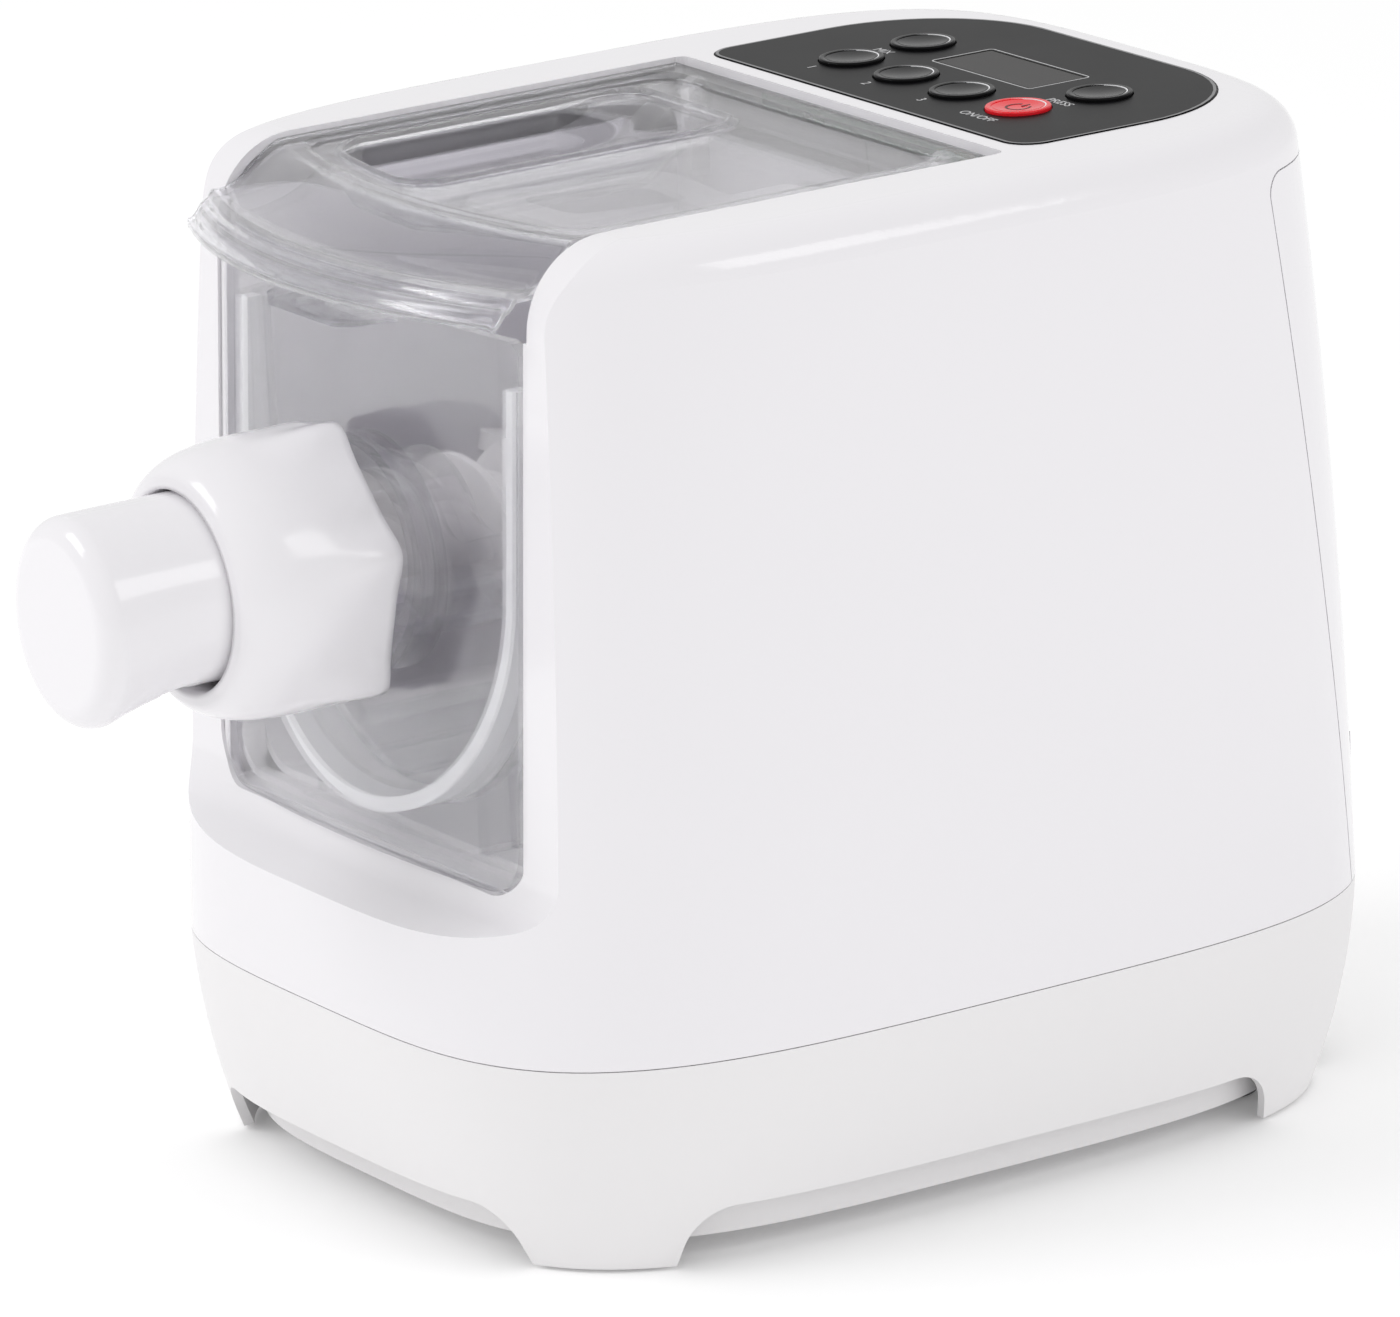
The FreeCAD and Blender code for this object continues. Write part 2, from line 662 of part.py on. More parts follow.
def die_nut():
    """Ring nut: round shoulder, nose and six grip ridges that fade forwards."""
    def at(y, radius):
        return Vec(0, y, shaft_z + radius)

    shoulder_y = nut_back_y - nut_shoulder_length
    turn = math.radians(45)
    drop, run = nut_radius - 0.4 - nut_nose_radius, shoulder_y - nut_front_y
    bulge = at(shoulder_y - run * math.sin(turn), nut_nose_radius + drop * math.cos(turn) + nut_bulge)
    edges = [
        Part.LineSegment(at(nut_back_y, 0), at(nut_back_y, nut_radius)).toShape(),
        Part.LineSegment(at(nut_back_y, nut_radius), at(shoulder_y, nut_radius - 0.4)).toShape(),
        Part.Arc(at(shoulder_y, nut_radius - 0.4), bulge, at(nut_front_y, nut_nose_radius)).toShape(),
        Part.LineSegment(at(nut_front_y, nut_nose_radius), at(nut_front_y, 0)).toShape(),
        Part.LineSegment(at(nut_front_y, 0), at(nut_back_y, 0)).toShape(),
    ]
    nut = Part.Face(Part.Wire(edges)).revolve(Vec(0, 0, shaft_z), Vec(0, 1, 0), 360)
    half = nut_ridge_width / 2
    tip = shaft_z + nut_radius + nut_ridge_height
    for i in range(nut_ridge_count):
        foot = nut_ridge_foot
        low, high = shaft_z + nut_radius - 4, tip
        back_face = Part.makePolygon(
            [
                Vec(-foot, nut_back_y, low),
                Vec(foot, nut_back_y, low),
                Vec(half / 3, nut_back_y, high),
                Vec(-half / 3, nut_back_y, high),
                Vec(-foot, nut_back_y, low),
            ]
        )
        front_z = shaft_z + nut_nose_radius
        front_face = Part.makePolygon(
            [
                Vec(-half, nut_front_y + 12, front_z - 2),
                Vec(half, nut_front_y + 12, front_z - 2),
                Vec(half / 3, nut_front_y + 12, front_z + 3),
                Vec(-half / 3, nut_front_y + 12, front_z + 3),
                Vec(-half, nut_front_y + 12, front_z - 2),
            ]
        )
        ridge = Part.makeLoft([back_face, front_face], True, True)
        ridge.rotate(Vec(0, 0, shaft_z), Vec(0, 1, 0), 90 - nut_ridge_angle + i * 360 / nut_ridge_count)
        nut = nut.fuse(ridge)
    nut = nut.cut(rod(boss_radius + lug_height + fit_gap, nut_back_y + 1, hood_back_y - hood_flange - fit_gap))
    nut = nut.cut(rod(hood_radius + fit_gap, nut_back_y, nut_front_y - 1))
    return nut.removeSplitter()


# ---------------------------------------------------------------- mixer
def socket_bar(y_from, y_to, clearance):
    return square_bar(shaft_square + 2 * clearance, y_from, y_to)


def mixing_paddle():
    """Hub with two looped blades; a square socket at each end takes the drive and the screw."""
    hub = rod(hub_radius, paddle_front_y, bowl_back_y - bowl_wall - 1.0)
    neck = rod(hub_neck_radius, paddle_front_y, neck_back_y)
    paddle = hub.fuse(neck)
    inner = 20.0
    for side, lean in ((1, 14), (-1, -14)):
        outer_wire = rounded_wire(
            [
                (0, paddle_front_y + 6, 0),
                (side * paddle_reach, paddle_front_y, 9.0),
                (side * paddle_reach, paddle_back_y, 9.0),
                (0, paddle_back_y - 6, 0),
            ],
            plan_point(shaft_z - paddle_thickness / 2),
        )
        inner_wire = rounded_wire(
            [
                (side * inner, paddle_front_y + 16, 5.0),
                (side * (paddle_reach - 11), paddle_front_y + 13, 6.0),
                (side * (paddle_reach - 11), paddle_back_y - 13, 6.0),
                (side * inner, paddle_back_y - 16, 5.0),
            ],
            plan_point(shaft_z - paddle_thickness),
        )
        blade = prism(outer_wire, Vec(0, 0, paddle_thickness))
        blade = blade.cut(prism(inner_wire, Vec(0, 0, 2 * paddle_thickness)))
        blade.rotate(Vec(0, (paddle_front_y + paddle_back_y) / 2, shaft_z), Vec(1, 0, 0), lean)
        paddle = paddle.fuse(blade)
    paddle = paddle.cut(socket_bar(socket_front_y, neck_back_y + 1, socket_clearance))
    paddle = paddle.cut(socket_bar(paddle_front_y - 1, paddle_front_y + 16, fit_gap))
    return paddle.removeSplitter()


def extrusion_screw():
    """Core with one helical flight that pushes the dough to the die."""
    start_y = barrel_back_y + 2.0
    length = start_y - screw_front_y
    outer = dough_bore_radius - screw_gap
    helix = Part.makeLongHelix(screw_pitch, length - screw_flight, screw_core_radius - 1.5, 0, False)
    profile = Part.makePolygon(
        [
            Vec(screw_core_radius - 1.5, 0, -screw_flight / 2),
            Vec(outer, 0, -screw_flight / 2 + 0.5),
            Vec(outer, 0, screw_flight / 2 - 0.5),
            Vec(screw_core_radius - 1.5, 0, screw_flight / 2),
            Vec(screw_core_radius - 1.5, 0, -screw_flight / 2),
        ]
    )
    flight = Part.Wire(helix.Edges).makePipeShell([profile], True, True)
    flight.translate(Vec(0, 0, screw_flight / 2))
    core = Part.makeCylinder(screw_core_radius, length)
    screw = core.fuse(flight)
    screw.rotate(Vec(0, 0, 0), Vec(1, 0, 0), 90)
    screw.translate(Vec(0, start_y, shaft_z))
    tail = rod(hub_neck_radius, start_y, paddle_front_y - fit_gap)
    key = square_bar(shaft_square, paddle_front_y - 1, paddle_front_y + 15)
    return screw.fuse([tail, key])


# ---------------------------------------------------------------- drive train
def gear(module, teeth, y_from, width, x, z, phase):
    """Spur gear with involute flanks, cut a little thin so that meshing gears run free."""
    pitch = module * teeth / 2
    base = pitch * math.cos(math.radians(20))
    tip, root = pitch + addendum * module, pitch - dedendum * module

    def roll(radius):
        if radius <= base:
            return 0.0
        turn = math.sqrt((radius / base) ** 2 - 1)
        return turn - math.atan(turn)

    half_tooth = math.pi / (2 * teeth) - backlash / (2 * pitch)
    flank = []
    for radius in (root, max(base, root + 0.01), pitch, (pitch + tip) / 2, tip):
        flank.append((radius, half_tooth + roll(pitch) - roll(radius)))
    points = []
    for i in range(teeth):
        centre = phase + 2 * math.pi * i / teeth
        for radius, half in flank:
            points.append((radius, centre - half))
        for radius, half in reversed(flank):
            points.append((radius, centre + half))
    places = [Vec(x + r * math.cos(a), y_from, z + r * math.sin(a)) for r, a in points]
    return prism(Part.makePolygon(places + places[:1]), Vec(0, width, 0))


def mesh_phase(teeth, mate_teeth, mate_phase, from_mate):
    """Phase that puts a gap on the line of centres where the mate has its tooth."""
    pitch_turn = 2 * math.pi / mate_teeth
    offset = (from_mate - mate_phase) / pitch_turn
    offset -= math.floor(offset)
    back = from_mate + math.pi
    own = 2 * math.pi / teeth
    return back + own * (offset - 0.5)


def train_axes():
    """Places of the idler and the motor, stepped out from the shaft line by the gear sizes."""
    second = stage_two_module * (stage_two_pinion_teeth + stage_two_gear_teeth) / 2
    first = stage_one_module * (stage_one_pinion_teeth + stage_one_gear_teeth) / 2
    angle_two, angle_one = math.radians(idler_angle), math.radians(motor_angle)
    idler = (second * math.cos(angle_two), shaft_z + second * math.sin(angle_two))
    motor = (idler[0] + first * math.cos(angle_one), idler[1] + first * math.sin(angle_one))
    return idler, motor


def gear_plate(y_from, holes):
    """Steel plate that carries the bearings, with rounded corners and posts at its corners."""
    wire = rounded_wire(
        [
            (-plate_half_width, plate_low_z, 10.0),
            (-plate_half_width, plate_high_z, 10.0),
            (plate_half_width, plate_high_z, 10.0),
            (plate_half_width, plate_low_z, 10.0),
        ],
        front_point(y_from),
    )
    plate = prism(wire, Vec(0, plate_thickness, 0))
    for radius, x, z in holes:
        plate = plate.cut(rod(radius, y_from - 1, y_from + plate_thickness + 1, x, z))
    return plate


def post_places():
    low, high = plate_low_z + post_inset, plate_high_z - post_inset
    reach = plate_half_width - post_inset
    return [(-reach, low), (reach, low), (-reach, high), (reach, high)]


def drive_parts():
    """Plates, posts, bearings, motor and the three turning groups."""
    (idler_x, idler_z), (motor_x, motor_z) = train_axes()
    back_plate_y = front_plate_y + plate_thickness + plate_spacing
    inside = front_plate_y + plate_thickness
    parts = {}
    front_holes = [(bearing_radius + 0.1, 0, shaft_z), (axle_radius + 0.1, idler_x, idler_z)]
    back_holes = front_holes + [(motor_boss_radius + 0.2, motor_x, motor_z)]
    hole = [(post_screw_radius + 0.1, x, z) for x, z in post_places()]
    parts["gear_plate_front"] = gear_plate(front_plate_y, front_holes + hole)
    parts["gear_plate_back"] = gear_plate(back_plate_y, back_holes + hole)
    parts["plate_posts"] = [
        tube(4.5, post_screw_radius + 0.1, inside + 0.02, back_plate_y - 0.02, x, z) for x, z in post_places()
    ]
    parts["plate_screws"] = [
        rod(post_screw_radius, back_plate_y + plate_thickness, bay_back_y + liner_wall + 0.2, x, z).fuse(
            rod(4.0, back_plate_y + plate_thickness + 0.02, back_plate_y + plate_thickness + 3, x, z)
        )
        for x, z in post_places()
    ]
    parts["plate_standoffs"] = [
        tube(5.5, post_screw_radius + 0.1, bay_back_y + liner_wall + 0.02, front_plate_y - 0.02, x, z)
        for x, z in post_places()
    ]
    parts["shaft_bearings"] = [
        tube(bearing_radius, shaft_radius + running_gap, y - 1.5, y - 1.5 + bearing_width)
        for y in (front_plate_y, back_plate_y)
    ]
    gear_y = inside + 6
    shaft = rod(shaft_radius, neck_back_y + 0.6, back_plate_y + plate_thickness + 5)
    shaft = shaft.fuse(square_bar(shaft_square, socket_front_y + 2, neck_back_y + 1))
    parts["drive_shaft"] = shaft
    second_phase = 0.0
    output = gear(stage_two_module, stage_two_gear_teeth, gear_y, gear_face, 0, shaft_z, second_phase)
    for i in range(6):
        angle = i * math.pi / 3
        output = output.cut(rod(8.0, gear_y - 1, gear_y + 12, 24 * math.cos(angle), shaft_z + 24 * math.sin(angle)))
    parts["output_gear"] = output.cut(rod(shaft_radius, gear_y - 1, gear_y + gear_face + 1))
    to_idler = math.atan2(idler_z - shaft_z, idler_x)
    pinion_phase = mesh_phase(stage_two_pinion_teeth, stage_two_gear_teeth, second_phase, to_idler)
    pinion = gear(stage_two_module, stage_two_pinion_teeth, gear_y - 1, gear_face + 4, idler_x, idler_z, pinion_phase)
    big_y = gear_y + gear_face + 3
    big = gear(stage_one_module, stage_one_gear_teeth, big_y, gear_face, idler_x, idler_z, pinion_phase)
    for i in range(5):
        angle = i * 2 * math.pi / 5
        x, z = idler_x + 19 * math.cos(angle), idler_z + 19 * math.sin(angle)
        big = big.cut(rod(6.0, big_y - 1, big_y + 12, x, z))
    idler = pinion.fuse(big)
    parts["idler_gear"] = idler.cut(rod(axle_radius + running_gap, inside, back_plate_y, idler_x, idler_z))
    parts["idler_axle"] = rod(axle_radius, front_plate_y - 1, back_plate_y + plate_thickness + 1, idler_x, idler_z)
    to_motor = math.atan2(motor_z - idler_z, motor_x - idler_x)
    small_phase = mesh_phase(stage_one_pinion_teeth, stage_one_gear_teeth, pinion_phase, to_motor)
    small = gear(stage_one_module, stage_one_pinion_teeth, big_y - 1, gear_face + 2, motor_x, motor_z, small_phase)
    motor_start = back_plate_y + plate_thickness
    arbor = rod(motor_shaft_radius, big_y - 3, motor_start + motor_length + 12, motor_x, motor_z)
    parts["motor_shaft"] = arbor
    parts["motor_pinion"] = small.cut(rod(motor_shaft_radius, big_y - 4, big_y + 14, motor_x, motor_z))
    can = rod(motor_radius, motor_start + 0.02, motor_start + motor_length, motor_x, motor_z)
    can = can.makeFillet(4.0, [e for e in can.Edges if e.BoundBox.YMin > motor_start + 10 and e.BoundBox.YLength < 0.1])
    can = can.fuse(rod(motor_boss_radius, motor_start - 2, motor_start + 1, motor_x, motor_z))
    for i in range(8):
        angle = i * math.pi / 4
        x, z = motor_x + 22 * math.cos(angle), motor_z + 22 * math.sin(angle)
        can = can.cut(rod(4.0, motor_start + motor_length - 6, motor_start + motor_length + 1, x, z))
    parts["motor_case"] = can.cut(
        rod(motor_shaft_radius + running_gap, motor_start - 3, motor_start + motor_length + 1, motor_x, motor_z)
    )
    fan_y = motor_start + motor_length + 2
    fan = rod(8.0, fan_y, fan_y + fan_thickness, motor_x, motor_z)
    for i in range(fan_blades):
        blade = box((motor_x + 5, fan_y, motor_z - 1.0), (motor_x + fan_radius, fan_y + 1.8, motor_z + 9.0))
        blade.rotate(Vec(motor_x, fan_y + 3, motor_z), Vec(1, 0, 0), -28)
        blade.rotate(Vec(motor_x, fan_y, motor_z), Vec(0, 1, 0), i * 360 / fan_blades)
        fan = fan.fuse(blade)
    fan = fan.common(rod(fan_radius, fan_y, fan_y + fan_thickness, motor_x, motor_z))
    parts["cooling_fan"] = fan.cut(rod(motor_shaft_radius, fan_y - 1, fan_y + 12, motor_x, motor_z)).removeSplitter()
    parts["shaft_seal"] = tube(seal_radius - 0.05, shaft_radius + running_gap, bay_back_y - 0.5, bay_back_y + liner_wall)
    return parts


# ---------------------------------------------------------------- control panel
def control_fascia():
    low = top_z + fascia_proud - fascia_thickness
    fascia = plan_block(fascia_corners(0.0), low, top_z + fascia_proud)
    top_edges = [e for e in fascia.Edges if e.BoundBox.ZMin > top_z + fascia_proud - 0.01]
    fascia = fascia.makeChamfer(0.4, top_edges)
    for x, y in key_places().values():
        fascia = fascia.cut(post(key_radius + key_gap, x, y, top_z - 10, top_z + 5))
    window = box(
        (-display_half_width, display_mid_y - display_depth / 2, top_z - 10),
        (display_half_width, display_mid_y + display_depth / 2, top_z + 5),
    )
    return fascia.cut(window)


def key_cap(x, y):
    """Round key with a dished top, a raised ring and a flange that keeps it in the panel."""
    top = top_z + fascia_proud + key_proud
    low = top_z - wall - key_travel - 0.3 - key_flange_thickness
    cap = post(key_radius, x, y, low, top)
    cap = cap.makeFillet(0.5, [e for e in cap.Edges if e.BoundBox.ZMin > top - 0.01])
    cap = cap.fuse(post(key_radius + key_flange, x, y, low, low + key_flange_thickness))
    dish_radius = 46.0
    ball = Part.makeSphere(dish_radius, Vec(x, y, top + dish_radius - key_dome))
    groove = post(key_radius - 1.6, x, y, top - 0.25, top + 1).cut(post(key_radius - 2.2, x, y, top - 1, top + 1))
    cap = cap.cut(ball).cut(groove)
    stem = post(2.0, x, y, board_z + board_thickness + switch_height + key_travel + 0.05, low + 0.5)
    return cap.fuse(stem).removeSplitter()


def display_window():
    half, low = display_half_width - 0.05, top_z - 1.2
    window = box(
        (-half, display_mid_y - display_depth / 2 + 0.05, low),
        (half, display_mid_y + display_depth / 2 - 0.05, top_z + fascia_proud - 0.1),
    )
    ledge = box(
        (-half - 2, display_mid_y - display_depth / 2 - 2, top_z - wall - 1.3),
        (half + 2, display_mid_y + display_depth / 2 + 2, top_z - wall - 0.1),
    )
    neck = box(
        (-half, display_mid_y - display_depth / 2 + 0.05, top_z - wall - 1.3),
        (half, display_mid_y + display_depth / 2 - 0.05, low),
    )
    return window.fuse([ledge, neck]).removeSplitter()


def display_module():
    half = display_half_width + 3
    low = board_z + board_thickness + 0.02
    high = top_z - wall - 1.35
    frame = box((-half, display_mid_y - display_depth / 2 - 3, low), (half, display_mid_y + display_depth / 2 + 3, high))
    pins = [box((-half + 3 + 4 * i, display_mid_y - 10, low - 3), (-half + 3.6 + 4 * i, display_mid_y - 9.4, low + 1)) for i in range(10)]
    return frame.fuse(pins)


def circuit_board():
    board = plan_block(
        [
            (-board_half_width, fascia_front_y + 8, 3.0),
            (board_half_width, fascia_front_y + 8, 3.0),
            (board_half_width, board_back_y, 3.0),
            (-board_half_width, board_back_y, 3.0),
        ],
        board_z,
        board_z + board_thickness,
    )
    for i in range(10):
        x = -display_half_width - 3 + 3.3 + 4 * i
        board = board.cut(post(0.5, x, display_mid_y - 9.7, board_z - 1, board_z + 5))
    for x, y in board_posts():
        board = board.cut(post(1.6, x, y, board_z - 1, board_z + 5))
    return board


def board_posts():
    return [
        (sx * (board_half_width - 4), y) for sx in (-1, 1) for y in (fascia_front_y + 12, board_back_y - 4)
    ]


def board_stand():
    """Posts that hang the circuit board from the roof."""
    return [
        post(3.2, x, y, board_z + board_thickness + 0.02, top_z - wall - 0.02).fuse(post(1.5, x, y, board_z - 1, board_z + 3))
        for x, y in board_posts()
    ]


def key_switches():
    switches = []
    for x, y in key_places().values():
        low = board_z + board_thickness
        body = box((x - 3, y - 3, low + 0.02), (x + 3, y + 3, low + switch_height - 0.8))
        switches.append(body.fuse(post(1.5, x, y, low + 1, low + switch_height)))
    return switches


def lid_switch():
    """Safety switch beside the lid's rear corner."""
    body = box((switch_x - 4, bay_back_y + liner_wall + 0.05, 238), (switch_x + 4, bay_back_y + liner_wall + 12, 254))
    lever = box((switch_x - 2, bay_back_y + liner_wall + 2, 253.5), (switch_x + 2, bay_back_y + liner_wall + 10, 255.5))
    return body.fuse(lever).removeSplitter()


def power_inlet():
    """Two-pin socket for a detachable lead."""
    y = inlet_face_y
    body = box((inlet_x - inlet_width / 2, y, inlet_z - inlet_height / 2), (inlet_x + inlet_width / 2, y + inlet_depth, inlet_z + inlet_height / 2))
    mouth = box((inlet_x - inlet_width / 2 + 2, y + 6, inlet_z - inlet_height / 2 + 2), (inlet_x + inlet_width / 2 - 2, y + inlet_depth + 1, inlet_z + inlet_height / 2 - 2))
    body = body.cut(mouth)
    for x in (inlet_x - 4.3, inlet_x + 4.3):
        body = body.fuse(rod(1.2, y + 5, y + inlet_depth - 3, x, inlet_z))
    return body


# ---------------------------------------------------------------- lid
def lid_form(inset):
    """Lid's outer form, or its hollow: a disc with a round edge, trimmed to the lid's sides and back."""
    half = lid_half_width - inset
    bow_radius = (lid_half_width ** 2 + lid_lip_bow ** 2) / (2 * lid_lip_bow)
    centre_y = lid_front_y - lid_lip_bow + bow_radius
    z_low = lid_lip_z - (1 if inset else 0)
    z_high = lid_top_z - inset
    profile = rounded_wire(
        [
            (centre_y, z_low, 0),
            (centre_y - bow_radius + inset, z_low, 0),
            (centre_y - bow_radius + inset + 1.5, z_high, lid_front_round - inset),
            (centre_y, z_high, 0),
        ],
        side_point(0),
    )
    disc = Part.Face(profile).revolve(Vec(0, centre_y, 0), Vec(0, 0, 1), 360)
    return disc.common(box((-half, -200, z_low - 1), (half, lid_back_y - inset, z_high + 1)))


def lid_lug(x):
    lug = box((x - bracket_width / 2, hinge_y - 3.5, hinge_z - 3.5), (x + bracket_width / 2, hinge_y + 3.5, lid_top_z - 1))
    low = [e for e in lug.Edges if e.BoundBox.ZMax < hinge_z and e.BoundBox.XLength > 1]
    return lug.makeFillet(3.4, low)


def clear_lid():
    lid = lid_form(0.0).cut(lid_form(lid_thickness))
    lid = lid.cut(box((-100, liner_front_y - lip_clearance, lid_lip_z - 5), (100, lid_back_y + 5, lid_rim_bottom_z)))
    back_gap = lid_half_width - 8
    back_skirt = box((-back_gap, hinge_y - 4, lid_lip_z), (back_gap, lid_back_y + 5, lid_top_z - lid_thickness))
    lid = lid.cut(back_skirt)
    tray = plan_block(tray_corners(0.0), lid_top_z - tray_depth - lid_thickness, lid_top_z - 0.5)
    pocket = plan_block(tray_corners(lid_thickness), lid_top_z - tray_depth, lid_top_z + 2)
    lid = lid.fuse(tray).cut(pocket)
    slot = plan_block(
        [(-24, tray_front_y + 12, 3.4), (24, tray_front_y + 12, 3.4), (24, tray_front_y + 20, 3.4), (-24, tray_front_y + 20, 3.4)],
        lid_top_z - 20,
        lid_top_z,
    )
    lid = lid.cut(slot)
    for step in range(2):
        drop = 2.2 + 3.4 * step
        ridge_form = lid_form(-1.1).cut(lid_form(0.0))
        band = box((-200, -200, lid_lip_z + drop), (200, lid_front_y - 2, lid_lip_z + drop + 1.6))
        lid = lid.fuse(ridge_form.common(band))
    for x in lug_places():
        lid = lid.fuse(lid_lug(x))
    lid = lid.cut(hinge_pin_bars(running_gap))
    return lid.removeSplitter()


def tray_corners(inset):
    half = tray_half_width - inset
    return [
        (-half, tray_front_y + inset, 9.0 - inset),
        (half, tray_front_y + inset, 9.0 - inset),
        (half, tray_back_y - inset, 9.0 - inset),
        (-half, tray_back_y - inset, 9.0 - inset),
    ]


def lug_places():
    offset = bracket_width + fit_gap
    return [side * hinge_x + step for side in (-1, 1) for step in (-offset, offset)]


def hinge_pin_bars(grow):
    reach = 1.5 * bracket_width + fit_gap
    bars = [
        Part.makeCylinder(hinge_pin_radius + grow, 2 * reach, Vec(side * hinge_x - reach, hinge_y, hinge_z), Vec(1, 0, 0))
        for side in (-1, 1)
    ]
    return bars[0].fuse(bars[1])


def hinge_pins():
    return list(hinge_pin_bars(0.0).Solids)


def hinge_brackets():
    """Two ears on the liner's back wall that hold the lid's pins."""
    ears = []
    for side in (-1, 1):
        x = side * hinge_x
        ear = box((x - bracket_width / 2, hinge_y - 3, liner_back_top_z - 10), (x + bracket_width / 2, bay_back_y - 0.02, hinge_z + 3.2))
        top = [e for e in ear.Edges if e.BoundBox.ZMin > hinge_z + 3 and e.BoundBox.XLength > 1]
        ear = ear.makeFillet(2.6, top)
        bore = Part.makeCylinder(hinge_pin_radius + 0.02, 30, Vec(x - 15, hinge_y, hinge_z), Vec(1, 0, 0))
        ears.append(ear.cut(bore))
    return ears


# ---------------------------------------------------------------- write every piece
def write(node, shape):
    solids = []
    for item in shape if isinstance(shape, list) else [shape]:
        solids.extend(item.Solids)
    piece = Part.Compound(solids) if len(solids) > 1 else solids[0]
    piece.translate(Vec(0, shift_y, 0))
    piece.exportStep("parts/" + node + ".step")


def main():
    front, rear = housing_pieces()
    write("upper_shell", front)
    write("rear_cover", rear)
    write("base_shell", base_shell())
    write("belly_tub", belly_tub())
    write("foot_pads", foot_pads())
    write("foot_screws", foot_screws())
    write("bay_liner", bay_liner())
    write("mixing_bowl", mixing_bowl())
    write("front_panel", front_panel())
    write("bowl_seal", bowl_seal())
    write("screw_barrel", screw_barrel())
    write("pasta_die", pasta_die())
    write("outlet_hood", outlet_hood())
    write("die_nut", die_nut())
    write("mixing_paddle", mixing_paddle())
    write("extrusion_screw", extrusion_screw())
    for node, shape in drive_parts().items():
        write(node, shape)
    write("control_fascia", control_fascia())
    for node, (x, y) in key_places().items():
        write(node, key_cap(x, y))
    write("display_window", display_window())
    write("display_module", display_module())
    write("circuit_board", circuit_board())
    write("board_stand", board_stand())
    write("key_switches", key_switches())
    write("lid_switch", lid_switch())
    write("power_inlet", power_inlet())
    write("clear_lid", clear_lid())
    write("hinge_pins", hinge_pins())
    write("hinge_brackets", hinge_brackets())


main()
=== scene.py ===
import bmesh
import bpy
import json
import math
from mathutils import Matrix, Vector
from mathutils.bvhtree import BVHTree


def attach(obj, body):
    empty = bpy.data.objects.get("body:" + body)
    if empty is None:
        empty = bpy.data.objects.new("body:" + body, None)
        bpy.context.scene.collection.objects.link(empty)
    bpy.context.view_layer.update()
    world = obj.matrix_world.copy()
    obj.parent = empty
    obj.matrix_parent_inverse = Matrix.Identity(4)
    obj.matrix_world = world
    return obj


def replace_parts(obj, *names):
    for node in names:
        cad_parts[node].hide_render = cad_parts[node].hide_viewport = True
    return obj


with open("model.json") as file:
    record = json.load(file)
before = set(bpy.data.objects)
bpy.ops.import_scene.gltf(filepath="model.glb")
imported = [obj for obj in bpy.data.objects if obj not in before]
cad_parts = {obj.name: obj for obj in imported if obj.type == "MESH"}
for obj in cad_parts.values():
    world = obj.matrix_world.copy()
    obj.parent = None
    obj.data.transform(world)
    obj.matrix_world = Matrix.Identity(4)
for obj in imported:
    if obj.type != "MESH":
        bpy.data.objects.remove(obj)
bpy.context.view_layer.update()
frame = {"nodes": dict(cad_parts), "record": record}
nodes = frame["nodes"]
scene = bpy.context.scene

# Lengths below are in millimetres, with y measured from the body's middle.
# MM turns them into metres, and SHIFT moves y to the frame's own y.
MM = 0.001
SHIFT = 29.75


# Shader nodes and numbers
def add_node(tree, kind, settings=None, inputs=None):
    """A node with its settings made first, then its sockets' values or links."""
    node = tree.nodes.new(kind)
    for name, value in (settings or {}).items():
        setattr(node, name, value)
    for name, value in (inputs or {}).items():
        if isinstance(value, Varying):
            value = value.socket
        if isinstance(value, bpy.types.NodeSocket):
            tree.links.new(value, node.inputs[name])
        else:
            node.inputs[name].default_value = value
    return node


class Varying:
    """A number that varies over a surface, added and multiplied as Python numbers are."""

    def __init__(self, tree, socket):
        self.tree = tree
        self.socket = socket

    def calculate(self, operation, other):
        node = add_node(self.tree, "ShaderNodeMath", {"operation": operation}, {0: self, 1: other})
        return Varying(self.tree, node.outputs[0])

    def __add__(self, other):
        return self.calculate("ADD", other)

    def __mul__(self, other):
        return self.calculate("MULTIPLY", other)

    __radd__ = __add__
    __rmul__ = __mul__

    def at_most(self, limit):
        return self.calculate("MINIMUM", limit)

    def step(self, low, high):
        """0 below low, 1 above high, smooth between."""
        node = add_node(
            self.tree,
            "ShaderNodeMapRange",
            {"interpolation_type": "SMOOTHSTEP"},
            {"Value": self, "From Min": low, "From Max": high},
        )
        return Varying(self.tree, node.outputs["Result"])


